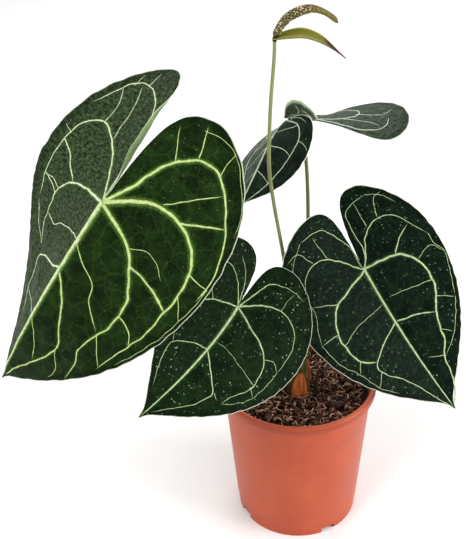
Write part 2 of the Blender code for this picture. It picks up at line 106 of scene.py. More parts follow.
# Way points of the flower stalk, measured from the middle of the mix's top, and of the spike.
PEDUNCLE_BEARING = 180.0
ROOT_BEARING = 62.0
PEDUNCLE_WAY = ((-0.003, 0.0100, 0.045), (-0.0064, 0.0120, 0.077), (-0.0092, 0.0105, 0.1040),
                (-0.0122, 0.0060, 0.1269), (-0.0170, 0.0015, 0.1600), (-0.0196, -0.0020, 0.188),
                (-0.0184, -0.003, 0.226), (-0.0158, 0.0, 0.258), (-0.0154, 0.0, 0.2685))
SPADIX_WAY = ((0.0, 0.0, 0.0), (0.0034, 0.0, 0.0055), (0.0074, 0.0004, 0.0096),
              (0.0124, 0.0008, 0.0123), (0.0178, 0.0010, 0.0140), (0.0232, 0.0010, 0.0142),
              (0.0292, 0.0008, 0.0122), (0.0345, 0.0004, 0.0088), (0.0376, 0.0, 0.0056))
CATAPHYLLS = (dict(bearing=8.0, height=0.024, spread=62.0, lean=0.10),
              dict(bearing=150.0, height=0.019, spread=70.0, lean=0.14),
              dict(bearing=262.0, height=0.021, spread=58.0, lean=0.12))
# Each chip: its share of the mix's radius, its bearing, length, width, height and turn.
BARK = ((0.68, 56.0, 0.010, 0.006, 0.0035, 20.0), (0.76, 327.0, 0.009, 0.006, 0.0032, 75.0),
        (0.79, 17.0, 0.008, 0.005, 0.0030, 140.0), (0.78, 104.0, 0.009, 0.005, 0.0032, 100.0),
        (0.74, 246.0, 0.010, 0.006, 0.0034, 40.0), (0.70, 167.0, 0.011, 0.006, 0.0036, 10.0))

WALL_TOP_RADIUS = POT_RIM_RADIUS - RIM_OVERHANG
WALL_SLOPE = (WALL_TOP_RADIUS - POT_FOOT_RADIUS) / (POT_HEIGHT - RIM_BAND)
MIX_TOP = POT_HEIGHT - MIX_DEPTH_BELOW_RIM
MIX_BOTTOM = DRAIN_RISE + POT_WALL + CLEAR
MIX_WALL = POT_WALL + CLEAR
MIX_RADIUS = POT_FOOT_RADIUS + WALL_SLOPE * (MIX_TOP - MIX_CROWN) - MIX_WALL
SEAT_RING = CROWN_RADIUS * 0.86 - PETIOLE_RADIUS - SEAT_EDGE

# --- fineness -----------------------------------------------------------------------------------
HALF_SPOKES = 200
BLADE_RINGS = 84
VEIN_SIDES = 8
MIDRIB_POINTS = 60
STALK_SIDES = 20
PETIOLE_POINTS = 90
PEDUNCLE_POINTS = 160
SPATHE_GRID = (120, 25)
SPADIX_GRID = (260, 56)
POLLEN_COUNT = 150
POT_STEPS = 192
HOLE_STEPS = 32
MIX_STEPS = 240
MIX_RINGS = 70
CRUMB_COUNT = 700
FIBRE_STEPS = 7
FIBRE_SIDES = 4
CROWN_STEPS = 96
SHEATH_GRID = (40, 30)
ROOT_POINTS = 60
ROOT_SIDES = 18
FLOOR_HALF_WIDTH = 6.0

# --- veins --------------------------------------------------------------------------------------
# Each vein: leaf coordinates from where it starts, with across counted outwards from the midrib,
# and its half width in millimetres at its start and end.
TYPICAL_VEINS = (
    (((0, 0), (.04, .10), (.09, .20), (.16, .28), (.25, .32), (.36, .31), (.47, .25), (.60, .185),
      (.76, .11), (.94, .02)), 0.80, 0.22),
    (((0, 0), (-.08, .05), (-.15, .11), (-.20, .20), (-.19, .28), (-.14, .34), (-.04, .40),
      (.10, .43), (.26, .42)), 0.75, 0.20),
    (((0, 0), (-.11, .035), (-.22, .04), (-.31, .07), (-.36, .14), (-.36, .21), (-.33, .27)),
     0.65, 0.20),
    (((.02, .20), (-.03, .27), (-.07, .37)), 0.35, 0.28),
    (((.14, .28), (.11, .35), (.11, .43)), 0.32, 0.22),
    (((.24, .32), (.23, .22), (.22, .11), (.22, .01)), 0.25, 0.20),
    (((.37, .31), (.42, .37), (.46, .40)), 0.25, 0.15),
    (((-.19, .24), (-.24, .25), (-.29, .28), (-.30, .36)), 0.30, 0.16),
    (((-.16, .13), (-.25, .15), (-.34, .17)), 0.28, 0.20),
    (((.36, 0), (.39, .10), (.44, .20), (.48, .24)), 0.42, 0.24),
    (((.62, 0), (.69, .10), (.72, .13)), 0.32, 0.20),
)
LARGE_LEFT_VEINS = (
    (((0, 0), (.04, .10), (.08, .18), (.16, .24), (.23, .28), (.30, .29), (.38, .28), (.45, .25),
      (.53, .23), (.60, .245), (.70, .24)), 1.30, 0.32),
    (((0, 0), (-.07, .10), (-.10, .17), (-.105, .25), (-.08, .33), (-.03, .39), (.04, .42),
      (.12, .43), (.22, .42), (.33, .405), (.45, .36), (.56, .325)), 1.55, 0.32),
    (((0, 0), (-.12, .07), (-.23, .12), (-.305, .20), (-.32, .28), (-.28, .35), (-.21, .41),
      (-.12, .465), (0, .50), (.10, .495)), 1.20, 0.40),
    (((-.12, .20), (-.19, .28), (-.26, .36)), 0.40, 0.36),
    (((-.095, .28), (-.13, .35), (-.17, .435)), 0.70, 0.60),
    (((-.32, .21), (-.38, .19), (-.43, .17)), 0.45, 0.25),
    (((-.31, .31), (-.36, .31), (-.41, .31)), 0.35, 0.15),
    (((-.26, .15), (-.38, .08)), 0.38, 0.22),
    (((.13, .22), (.14, .30), (.17, .37), (.20, .425)), 0.62, 0.75),
    (((.08, .18), (.05, .24), (.06, .29), (.11, .35)), 0.26, 0.18),
    (((.03, .42), (.04, .47), (.04, .505)), 0.45, 0.28),
    (((.12, .43), (.18, .47), (.20, .485)), 0.30, 0.18),
    (((.31, .29), (.34, .35), (.40, .385)), 0.50, 0.38),
    (((.43, .26), (.49, .29), (.55, .33)), 0.32, 0.26),
    (((.18, 0), (.23, .07), (.27, .14), (.34, .17), (.42, .25)), 0.42, 0.36),
    (((.31, 0), (.38, .06), (.50, .12), (.57, .15), (.64, .14), (.74, .09), (.85, .04),
      (.95, .01)), 0.75, 0.45),
    (((.60, .15), (.68, .19), (.75, .18)), 0.30, 0.20),
    (((.55, 0), (.64, .06), (.73, .09)), 0.35, 0.25),
    (((-.41, .17), (-.42, .24), (-.40, .31), (-.34, .38), (-.25, .45), (-.16, .48)), 0.20, 0.16),
    (((.04, .505), (.12, .50), (.20, .485), (.30, .46), (.40, .42), (.50, .375)), 0.22, 0.16),
)
LARGE_RIGHT_VEINS = (
    (((0, 0), (.01, .10), (.02, .20), (.05, .29), (.14, .345), (.24, .34), (.34, .32),
      (.44, .27)), 1.20, 0.35),
    (((0, 0), (-.06, .09), (-.12, .17), (-.17, .25), (-.20, .33), (-.17, .40), (-.11, .44),
      (0, .46), (.14, .45), (.28, .42)), 1.00, 0.30),
    (((0, 0), (-.10, .02), (-.20, .05), (-.28, .09), (-.35, .17), (-.38, .24), (-.37, .31),
      (-.32, .36), (-.24, .43)), 0.80, 0.35),
    (((-.17, .23), (-.27, .24), (-.375, .27)), 0.40, 0.32),
    (((-.20, .33), (-.27, .32), (-.34, .345)), 0.38, 0.30),
    (((-.07, .45), (-.02, .37), (.05, .29)), 0.55, 0.60),
    (((.13, .45), (.15, .39), (.18, .345)), 0.38, 0.38),
    (((.30, 0), (.37, .10), (.43, .20), (.49, .23), (.60, .185), (.74, .13)), 0.85, 0.35),
    (((.17, 0), (.20, .12), (.24, .21), (.29, .26), (.29, .33)), 0.42, 0.34),
    (((.55, 0), (.59, .10), (.62, .175)), 0.35, 0.25),
    (((-.38, .24), (-.43, .22)), 0.35, 0.20),
    (((-.36, .31), (-.41, .29)), 0.26, 0.16),
    (((.14, .345), (.12, .40), (.14, .45)), 0.30, 0.30),
    (((.44, .27), (.40, .34), (.30, .42)), 0.26, 0.26),
    (((-.10, .44), (-.12, .48)), 0.26, 0.16),
)
FRONT_LEFT_VEINS = (
    (((0, 0), (.08, .14), (.13, .24), (.19, .30), (.27, .33), (.36, .34), (.43, .32),
      (.50, .28), (.58, .26)), 0.70, 0.14),
    (((0, 0), (-.06, .065), (-.12, .14), (-.16, .24), (-.14, .33), (-.09, .385), (-.01, .415),
      (.10, .42), (.20, .41)), 0.68, 0.12),
    (((0, 0), (-.14, .05), (-.27, .10), (-.32, .18), (-.34, .27), (-.33, .34)), 0.55, 0.12),
    (((.38, 0), (.46, .08), (.56, .18), (.62, .18), (.70, .15), (.80, .09), (.92, .02)),
     0.48, 0.14),
    (((.38, .33), (.42, .38)), 0.22, 0.12),
    (((.56, .19), (.58, .23)), 0.22, 0.12),
    (((.20, .41), (.30, .40), (.42, .38), (.52, .32), (.58, .26)), 0.16, 0.12),
    (((.19, .30), (.16, .36), (.20, .41)), 0.20, 0.14),
    (((-.16, .24), (-.25, .25), (-.33, .27)), 0.18, 0.12),
    (((.36, .34), (.33, .22), (.30, .10), (.30, .01)), 0.18, 0.14),
)
FRONT_RIGHT_VEINS = (
    (((0, 0), (.06, .12), (.11, .21), (.18, .28), (.28, .31), (.40, .28)), 0.60, 0.20),
    (((0, 0), (-.08, .06), (-.16, .14), (-.20, .24), (-.16, .33), (-.06, .40)), 0.50, 0.20),
    (((0, 0), (-.10, .03), (-.19, .06), (-.28, .13), (-.33, .20)), 0.45, 0.18),
    (((.38, 0), (.43, .13), (.52, .24), (.60, .23), (.70, .18), (.80, .11)), 0.40, 0.16),
    (((.40, .28), (.46, .28), (.52, .24)), 0.22, 0.18),
    (((-.06, .40), (.04, .41), (.16, .40), (.28, .36), (.40, .30)), 0.18, 0.14),
    (((.11, .21), (.05, .28), (.00, .38)), 0.22, 0.15),
)
RIGHT_RIGHT_VEINS = (
    (((0, 0), (.02, .04), (.05, .14), (.09, .25), (.15, .31), (.23, .34), (.31, .34), (.42, .31),
      (.48, .23)), 0.78, 0.50),
    (((0, 0), (-.02, .03), (-.09, .09), (-.17, .18), (-.19, .27), (-.15, .34), (-.10, .37)),
     0.68, 0.22),
    (((0, 0), (-.04, .01), (-.15, .015), (-.24, .06), (-.33, .12), (-.36, .20), (-.35, .29)),
     0.48, 0.22),
    (((-.20, .27), (-.30, .33), (-.28, .41)), 0.28, 0.16),
    (((-.18, .18), (-.34, .21)), 0.26, 0.20),
    (((.09, .25), (.03, .39)), 0.36, 0.20),
    (((.23, .34), (.23, .45)), 0.42, 0.24),
    (((.30, .34), (.28, .29), (.25, .20), (.24, .09), (.23, .01)), 0.28, 0.18),
    (((.36, 0), (.41, .12), (.48, .23), (.54, .24), (.66, .15), (.75, .10), (.86, .06), (.96, .01)),
     0.52, 0.24),
    (((.42, .31), (.48, .35)), 0.30, 0.16),
    (((.54, .24), (.60, .30)), 0.28, 0.16),
    (((-.10, .37), (-.02, .40), (.05, .39), (.14, .42), (.23, .45)), 0.20, 0.18),
    (((.23, .45), (.36, .42), (.48, .35), (.60, .30), (.70, .22)), 0.20, 0.16),
    (((-.35, .29), (-.28, .36), (-.20, .41)), 0.18, 0.15),
)
RIGHT_LEFT_VEINS = (
    (((0, 0), (.00, .04), (-.00, .15), (.02, .26), (.10, .33), (.19, .35), (.30, .33), (.42, .26),
      (.53, .22), (.61, .20), (.69, .14), (.79, .12), (.90, .07), (.97, .01)), 1.00, 0.42),
    (((0, 0), (-.04, .04), (-.15, .11), (-.22, .20), (-.23, .28), (-.20, .35), (-.13, .40),
      (-.02, .47)), 0.62, 0.20),
    (((-.04, .04), (-.11, .06), (-.24, .05), (-.32, .07), (-.36, .14), (-.39, .23)), 0.42, 0.20),
    (((-.21, .15), (-.36, .14)), 0.26, 0.18),
    (((-.24, .24), (-.35, .27), (-.38, .33)), 0.26, 0.16),
    (((.00, .23), (-.07, .30), (-.13, .39)), 0.52, 0.30),
    (((.09, .34), (.05, .44), (.12, .50)), 0.24, 0.16),
    (((.24, .34), (.22, .18), (.21, .05)), 0.26, 0.18),
    (((.34, .31), (.40, .41)), 0.32, 0.18),
    (((.36, .01), (.38, .14), (.42, .25)), 0.58, 0.50),
    (((.68, .15), (.64, .05)), 0.24, 0.18),
    (((-.02, .47), (.05, .47), (.12, .50), (.24, .47), (.40, .41)), 0.20, 0.18),
    (((.40, .41), (.50, .35), (.60, .27), (.69, .15)), 0.20, 0.18),
    (((.53, .22), (.58, .28)), 0.26, 0.16),
    (((-.39, .23), (-.36, .32), (-.28, .39)), 0.18, 0.15),
)
VEINS = {
    "large": (LARGE_RIGHT_VEINS, LARGE_LEFT_VEINS, 1.70),
    "front": (FRONT_RIGHT_VEINS, FRONT_LEFT_VEINS, 0.95),
    "right": (RIGHT_RIGHT_VEINS, RIGHT_LEFT_VEINS, 1.00),
    "back": (TYPICAL_VEINS, TYPICAL_VEINS, 0.85),
}


# --- shapes -------------------------------------------------------------------------------------
def smooth_line(points, count):
    """Catmull-Rom curve through the points, read at count even steps."""
    way = np.asarray(points, float)
    way = np.vstack([2 * way[0] - way[1], way, 2 * way[-1] - way[-2]])
    spot = np.linspace(0, len(points) - 1 - 1e-9, count)
    at = spot.astype(int)
    t = (spot - at)[:, None]
    a, b, c, d = way[at], way[at + 1], way[at + 2], way[at + 3]
    return 0.5 * (2 * b + (c - a) * t + (2 * a - 5 * b + 4 * c - d) * t ** 2
                  + (3 * b - a - 3 * c + d) * t ** 3)


def ramp(value, low, high):
    """0 below low, 1 above high, and a smooth S between them."""
    share = np.clip((value - low) / (high - low), 0, 1)
    return share * share * (3 - 2 * share)


def ripple(places, size, seed, waves=10):
    """Soft noise from -1 to 1: the mean of sine waves in random directions, about size apart."""
    random = np.random.default_rng(seed)
    ways = random.normal(size=(waves, places.shape[-1]))
    often = math.tau / size * random.uniform(0.6, 1.6, waves)
    ways *= (often / np.linalg.norm(ways, axis=1))[:, None]
    return np.sin(places @ ways.T + random.uniform(0, math.tau, waves)).mean(axis=-1) * 1.8


def add(name, data):
    """A new object in the scene."""
    ob = bpy.data.objects.new(name, data)
    bpy.context.scene.collection.objects.link(ob)
    return ob


def put_mesh(name, places, faces, materials, slots=None, marks=None, leaf_uv=None, sharp=None):
    """A mesh from arrays: places (n, 3), a list of face arrays with 3 or 4 corners each, a
    material number for each of those arrays, and numbers that each place carries."""
    mesh = bpy.data.meshes.new(name)
    corners = np.concatenate([part.ravel() for part in faces])
    sizes = np.concatenate([np.full(len(part), part.shape[1]) for part in faces])
    starts = np.concatenate([[0], np.cumsum(sizes)[:-1]])
    mesh.vertices.add(len(places))
    mesh.vertices.foreach_set("co", np.asarray(places, np.float32).ravel())
    mesh.loops.add(len(corners))
    mesh.loops.foreach_set("vertex_index", corners.astype(np.int32))
    mesh.polygons.add(len(sizes))
    mesh.polygons.foreach_set("loop_start", starts.astype(np.int32))
    for mat in materials:
        mesh.materials.append(mat)
    if slots is not None:
        numbers = np.repeat(slots, [len(part) for part in faces]).astype(np.int32)
        mesh.polygons.foreach_set("material_index", numbers)
    mesh.update(calc_edges=True)
    for title, values in (marks or {}).items():
        mark = mesh.attributes.new(title, "FLOAT", "POINT")
        mark.data.foreach_set("value", np.asarray(values, np.float32))
    if leaf_uv is not None:
        layer = mesh.uv_layers.new(name="UVMap")
        layer.data.foreach_set("uv", np.asarray(leaf_uv, np.float32)[corners].ravel())
    mesh.validate()
    mesh.shade_smooth()
    if sharp:
        mesh.set_sharp_from_angle(angle=math.radians(sharp))
    return add(name, mesh)


def show(ob, slot, *nodes):
    """The piece rides on the plant and stands for the nodes. The slot is not used."""
    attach(ob, "root")
    if nodes:
        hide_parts(*nodes)
    return ob


def wrap(rings, around, start=0):
    """Quads of a grid of rings rows that closes on itself after around steps."""
    row, step = np.meshgrid(np.arange(rings - 1), np.arange(around), indexing="ij")
    a = row * around + step
    b = row * around + (step + 1) % around
    return start + np.stack([a, b, b + around, a + around], axis=-1).reshape(-1, 4)


def sheet_grid(rows, columns, reach):
    """Share along and across at each point of a grid; across runs from -reach to reach."""
    grids = np.meshgrid(np.linspace(0, 1, rows), np.linspace(-reach, reach, columns), indexing="ij")
    return (part.ravel() for part in grids)


def sheet_faces(rows, columns):
    """Faces of a thin closed sheet: one side, the other side, and the rim between them. Its
    places are the grid of one side, then the same grid of the other."""
    count = rows * columns
    row, column = np.meshgrid(np.arange(rows - 1), np.arange(columns - 1), indexing="ij")
    a = (row * columns + column).ravel()
    one = np.stack([a, a + columns, a + columns + 1, a + 1], axis=-1)
    grid = np.arange(count).reshape(rows, columns)
    loop = np.concatenate([grid[0, :-1], grid[:-1, -1], grid[-1, :0:-1], grid[:0:-1, 0]])
    after = np.roll(loop, -1)
    rim = np.stack([loop, after, after + count, loop + count], axis=-1)
    return [one, one[:, ::-1] + count, rim]


def fan(first, around, middle, flip=False):
    """Triangles from a closed row of points to one middle point."""
    step = np.arange(around)
    tips = np.stack([first + step, first + (step + 1) % around, np.full(around, middle)], axis=-1)
    return tips[:, ::-1] if flip else tips


def frames_along(path):
    """Unit tangent, side and normal at each point of a path, turning as little as possible."""
    ahead = np.gradient(path, axis=0)
    ahead /= np.linalg.norm(ahead, axis=1)[:, None]
    side = np.cross(ahead[0], [0.3, 0.2, 1.0] if abs(ahead[0][2]) < 0.9 else [1.0, 0.1, 0.0])
    sides = []
    for way in ahead:
        side = side - way * (side @ way)
        side = side / np.linalg.norm(side)
        sides.append(side)
    sides = np.array(sides)
    return ahead, sides, np.cross(ahead, sides)


def tube_mesh(path, radius, around):
    """Places and faces of a closed round tube: a ring of radius (row, step) at each path point."""
    _, side, normal = frames_along(path)
    turn = np.arange(around) / around * math.tau
    radius = np.broadcast_to(np.asarray(radius, float).reshape(len(path), -1), (len(path), around))
    rings = (path[:, None] + radius[..., None] * (np.cos(turn)[None, :, None] * side[:, None]
                                                  + np.sin(turn)[None, :, None] * normal[:, None]))
    count = len(path) * around
    places = np.vstack([rings.reshape(-1, 3), path[:1], path[-1:]])
    faces = [wrap(len(path), around), fan(0, around, count, flip=True),
             fan(count - around, around, count + 1)]
    return places, faces


def revolve(profile, steps, bumps=None):
    """Places and faces of a profile (radius, height) from axis to axis, turned about Z."""
    profile = np.asarray(profile, float)
    turn = np.arange(steps) / steps * math.tau
    inner = profile[1:-1]
    rings = np.stack([inner[:, :1] * np.cos(turn), inner[:, :1] * np.sin(turn),
                      np.broadcast_to(inner[:, 1:], (len(inner), steps))], axis=-1)
    if bumps is not None:
        rings = bumps(rings)
    count = len(inner) * steps
    places = np.vstack([rings.reshape(-1, 3), [[0, 0, profile[0][1]]], [[0, 0, profile[-1][1]]]])
    faces = [wrap(len(inner), steps), fan(0, steps, count, flip=True),
             fan(count - steps, steps, count + 1)]
    return places, faces


def copies(shape, faces, places, turns, sizes):
    """The same small shape many times: turned by (n, 3, 3) and scaled by (n, 3), as one mesh."""
    many = np.einsum("nij,nkj->nki", turns, shape[None] * sizes[:, None]) + places[:, None]
    step = np.arange(len(places))[:, None, None] * len(shape)
    return many.reshape(-1, 3), [(part[None] + step).reshape(-1, part.shape[1]) for part in faces]


def join(parts):
    """One mesh out of several (places, faces)."""
    start, places, faces = 0, [], []
    for some, sides in parts:
        places.append(some)
        faces += [side + start for side in sides]
        start += len(some)
    return np.vstack(places), faces


def about(axis, angle):
    """Rotation matrices about axis 0, 1 or 2, one for each angle."""
    after, last = (axis + 1) % 3, (axis + 2) % 3
    turns = np.tile(np.eye(3), (len(angle), 1, 1))
    turns[:, after, after] = turns[:, last, last] = np.cos(angle)
    turns[:, last, after] = np.sin(angle)
    turns[:, after, last] = -np.sin(angle)
    return turns


def random_turns(random, count, tilt=1.0):
    """Rotation matrices with a random turn about Z and a random tilt of up to tilt radians."""
    spin = random.uniform(0, math.tau, count)
    lean = random.uniform(-tilt, tilt, (2, count))
    return about(2, spin) @ about(0, lean[0]) @ about(1, lean[1])


def outward(bearing):
    """The level unit vector at a bearing in degrees: 0 is the front, and 90 is +X."""
    turn = math.radians(bearing)
    return np.array([math.sin(turn), -math.cos(turn), 0.0])


def line_gaps(spots, line):
    """For each spot and each piece of a line: the share along the piece where it is nearest to the
    spot, and how far apart they are."""
    a, run = line[:-1], line[1:] - line[:-1]
    t = ((spots[:, None] - a) * run).sum(-1) / np.maximum((run ** 2).sum(-1), 1e-12)
    t = np.clip(t, 0, 1)
    return t, np.linalg.norm(spots[:, None] - (a + t[..., None] * run), axis=-1)


# --- shaders ------------------------------------------------------------------------------------
class Paint:
    """A material with one Principled BSDF, and short ways to add the nodes that colour it."""

    def __init__(self, name, roughness=0.5, **settings):
        self.mat = bpy.data.materials.new(name)
        self.mat.use_nodes = True
        self.nodes = self.mat.node_tree.nodes
        self.shader = self.nodes["Principled BSDF"]
        self.shader.inputs["Roughness"].default_value = roughness
        for title, value in settings.items():
            self.shader.inputs[title.replace("_", " ")].default_value = value

    def feed(self, socket, value):
        """Link an input to another node's output, or set its value."""
        if isinstance(value, bpy.types.NodeSocket):
            self.mat.node_tree.links.new(value, socket)
        else:
            socket.default_value = value

    def put(self, kind, inputs=None, **settings):
        """Add a node, set its properties, and link or set its inputs."""
        node = self.nodes.new(kind)
        for title, value in settings.items():
            setattr(node, title, value)
        for title, value in (inputs or {}).items():
            self.feed(node.inputs[title], value)
        return node

    def where(self, uv=False):
        """Coordinates in metres on the object, or the piece's own UV map."""
        if uv:
            return self.put("ShaderNodeUVMap", uv_map="UVMap").outputs["UV"]
        return self.put("ShaderNodeTexCoord").outputs["Object"]

    def mark(self, title):
        """A number that the mesh carries."""
        return self.put("ShaderNodeAttribute", attribute_name=title).outputs["Fac"]

    def noise(self, where, scale, detail=3.0, rough=0.55, stretch=None):
        """Cloudy noise, drawn out where a factor of stretch is small."""
        if stretch:
            where = self.put("ShaderNodeMapping", {"Vector": where, "Scale": stretch}).outputs[0]
        return self.put("ShaderNodeTexNoise", {"Vector": where, "Scale": scale, "Detail": detail,
                                               "Roughness": rough}).outputs["Fac"]

    def warp(self, where, scale, amount):
        """The coordinates, pushed about by noise."""
        noise = self.put("ShaderNodeTexNoise", {"Vector": where, "Scale": scale}).outputs["Color"]
        push = self.put("ShaderNodeVectorMath", {0: noise, 1: (amount,) * 3, 2: where},
                        operation="MULTIPLY_ADD")
        return push.outputs[0]

    def cells(self, where, scale, feature="F1"):
        """Distance in a pattern of cells: from their middles, or from their edges."""
        node = self.put("ShaderNodeTexVoronoi", {"Vector": where, "Scale": scale}, feature=feature)
        return node.outputs["Distance"]

    def span(self, value, low, high, to_low=0.0, to_high=1.0):
        """A smooth step from to_low to to_high as the value runs from low to high."""
        return self.put("ShaderNodeMapRange", {"Value": value, "From Min": low, "From Max": high,
                                               "To Min": to_low, "To Max": to_high},
                        interpolation_type="SMOOTHSTEP").outputs["Result"]

    def sum(self, a, b, how="ADD"):
        """Two numbers added, or put through another math operation."""
        return self.put("ShaderNodeMath", {0: a, 1: b}, operation=how).outputs[0]

    def times(self, a, b):
        return self.sum(a, b, "MULTIPLY")

    def mix(self, share, a, b):
        """Colour a where share is 0 and b where it is 1."""
        a, b = ((*tone, 1.0) if isinstance(tone, tuple) else tone for tone in (a, b))
        node = self.put("ShaderNodeMix", data_type="RGBA")
        for number, value in ((0, share), (6, a), (7, b)):
            self.feed(node.inputs[number], value)
        return node.outputs[2]

    def tint(self, a, b, value, low, high, to_low=0.0, to_high=1.0):
        """Colour a turned to b as the value runs from low to high."""
        return self.mix(self.span(value, low, high, to_low, to_high), a, b)

    def colour(self, source):
        self.feed(self.shader.inputs["Base Color"], source)

    def rough(self, source):
        self.feed(self.shader.inputs["Roughness"], source)

    def bump(self, height, strength, distance):
        node = self.put("ShaderNodeBump", {"Height": height, "Strength": strength,
                                           "Distance": distance})
        self.feed(self.shader.inputs["Normal"], node.outputs[0])


def srgb(r, g, b):
    """Linear colour of an sRGB one from 0 to 255."""
    c = np.array([r, g, b]) / 255
    c = np.where(c <= 0.04045, c / 12.92, ((c + 0.055) / 1.055) ** 2.4)
    return tuple(float(round(x, 4)) for x in c)


# --- leaves -------------------------------------------------------------------------------------
def leaf_axes(leaf):
    """Unit vectors of a leaf at its stalk: to the tip, to the right half, out of the upper face."""
    heading, pitch, roll = (math.radians(leaf[k]) for k in ("heading", "pitch", "roll"))
    tip = np.array([math.sin(heading) * math.cos(pitch), math.cos(heading) * math.cos(pitch),
                    math.sin(pitch)])
    level = np.array([math.cos(heading), -math.sin(heading), 0.0])
    raised = np.cross(level, tip)
    right = math.cos(roll) * level + math.sin(roll) * raised
    return tip, right, np.cross(right, tip)


def midrib(leaf, along):
    """Place and direction angles of the bent midrib at a distance along it, for a length of 1."""
    grid = np.linspace(-0.9, 1.05, 391)
    share = (1 - np.exp(-leaf["early"] * np.maximum(grid, 0))) / (1 - math.exp(-leaf["early"]))
    dip = np.where(grid >= 0, -leaf["bend"] * share, -leaf["rear"] * grid)
    swing = leaf["side"] * np.maximum(grid, 0)
    slopes = (np.cos(dip) * np.cos(swing), np.cos(dip) * np.sin(swing), np.sin(dip))
    step = grid[1] - grid[0]
    places = []
    for slope in slopes:
        run = np.concatenate([[0], np.cumsum((slope[1:] + slope[:-1]) / 2) * step])
        places.append(np.interp(along, grid, run - np.interp(0, grid, run)))
    return places, np.interp(along, grid, dip), np.interp(along, grid, swing)


def blade_surface(leaf, along, across, side):
    """Upper face of a blade: the flat leaf, bent along its midrib, folded and curled across it. A
    waist narrows the left half beside the stalk."""
    right_half = side > 0
    shape = [np.where(right_half, r, l) for r, l in zip(leaf["right"], leaf["left"])]
    fold, fold_front, fold_rear, curl, curl_front, curl_rear, lobe, width = shape
    along = np.where(along < 0, along * lobe, along)
    waist = leaf.get("waist", 0.0) * np.exp(-((along - 0.02) / 0.15) ** 2)
    reach = np.abs(across) * width * (1 - np.where(right_half, 0.0, waist))
    front, back = np.maximum(along, 0), np.maximum(-along, 0)
    fold = fold + fold_front * front + fold_rear * back
    curl = curl + curl_front * front + curl_rear * back
    curl = np.where(np.abs(curl) < 1e-4, 1e-4, curl)
    out = (np.sin(fold + curl * reach) - np.sin(fold)) / curl
    up = (np.cos(fold) - np.cos(fold + curl * reach)) / curl
    (x, y, z), dip, swing = midrib(leaf, along)
    tip, right, face = leaf_axes(leaf)
    ahead = (np.outer(np.cos(dip) * np.cos(swing), tip)
             + np.outer(np.cos(dip) * np.sin(swing), right) + np.outer(np.sin(dip), face))
    aside = np.outer(-np.sin(swing), tip) + np.outer(np.cos(swing), right)
    above = np.cross(aside, ahead)
    spine = np.outer(x, tip) + np.outer(y, right) + np.outer(z, face)
    shape = spine + (np.where(right_half, 1.0, -1.0) * out)[:, None] * aside + up[:, None] * above
    return leaf_place(leaf) + leaf["length"] * shape


def leaf_place(leaf):
    """Where the stalk meets the blade, in the pot's frame."""
    return np.array(leaf["place"]) + np.array([0.0, 0.0, MIX_TOP])


def blade_normal(leaf, along, across, side):
    """Out of the upper face: the cross of the steps outwards and towards the tip. On the midrib
    it is the mean of both halves."""
    step = 0.004

    def one(side):
        outer = blade_surface(leaf, along, across + side * step, side)
        here = blade_surface(leaf, along, across, side)
        ahead = (blade_surface(leaf, along + step, across, side)
                 - blade_surface(leaf, along - step, across, side))
        normal = np.cross(side[:, None] * (outer - here), ahead)
        return normal / np.linalg.norm(normal, axis=1)[:, None]

    own = one(side)
    both = own + one(-side)
    both /= np.linalg.norm(both, axis=1)[:, None]
    near = ramp(np.abs(across), 0.0, 0.02)[:, None]
    normal = both * (1 - near) + own * near
    return normal / np.linalg.norm(normal, axis=1)[:, None]


def vein_lines(key):
    """Every vein of a leaf: flat points in metres, the half they lie on and half width there."""
    leaf = LEAVES[key]
    length = leaf["length"]
    right, left, rib = VEINS[key]
    lines = []
    spot = np.linspace(0.0, 0.985, MIDRIB_POINTS)
    flat = np.stack([spot, np.zeros(MIDRIB_POINTS)], axis=1) * length
    lines.append((flat, np.ones(MIDRIB_POINTS), (rib * (1 - spot) ** 0.75 + 0.22) * 0.001))
    for side, veins in ((1.0, right), (-1.0, left)):
        for points, first, last in veins:
            count = max(8, int(len(points) * 7))
            flat = smooth_line(points, count)
            share = np.linspace(0, 1, count)
            free = ramp(np.minimum(share, 1 - share), 0.0, 0.15) * (np.abs(flat[:, 1]) > 0.02)
            flat[:, 1] += 0.0035 * ripple(flat, 0.09, 61) * free
            flat[:, 0] += 0.0035 * ripple(flat, 0.09, 62) * free
            flat = flat * [1, side] * length
            width = (first + (last - first) * share ** 0.8) * 0.001
            width *= 1 + 0.22 * ripple(flat, 0.006, 63)
            lines.append((flat, np.full(count, side), width))
    return lines


def vein_fields(key, flat, side):
    """Distance in metres from each flat point to the nearest vein's edge, and the glow of the
    thick veins, which is 1 at their edge and fades over a few half widths."""
    near = np.full(len(flat), 1.0)
    middle = np.full(len(flat), 1.0)
    glow = np.zeros(len(flat))
    for line, half, width in vein_lines(key):
        mine = np.nonzero((side == half[0]) | (np.abs(flat[:, 1]) < 0.012))[0]
        if np.all(line[:, 1] == 0):
            mine = np.arange(len(flat))
        t, gap = line_gaps(flat[mine], line)
        wide = width[:-1] + t * (width[1:] - width[:-1])
        edge = gap - wide
        near[mine] = np.minimum(near[mine], edge.min(axis=1))
        middle[mine] = np.minimum(middle[mine], gap.min(axis=1))
        shine = np.exp(-(np.maximum(edge, 0) / (0.0005 + 0.7 * wide)) ** 1.4)
        shine = shine * np.clip(wide / 0.0009, 0, 1)
        glow[mine] = np.maximum(glow[mine], shine.max(axis=1))
    return near, middle, glow


def ring_share(spot):
    """How far out a spot lies in the fan of rings: 0 at the fan's centre, 1 on the outline."""
    half = smooth_line(HEART, 400) - [FAN_CENTRE, 0.0]
    spot = np.stack([spot[:, 0] - FAN_CENTRE, np.abs(spot[:, 1])], axis=1)
    rim = np.interp(np.arctan2(spot[:, 1], spot[:, 0]), np.arctan2(half[:, 1], half[:, 0]),
                    np.linalg.norm(half, axis=1))
    return np.minimum(np.linalg.norm(spot, axis=1) / rim, 1.0)


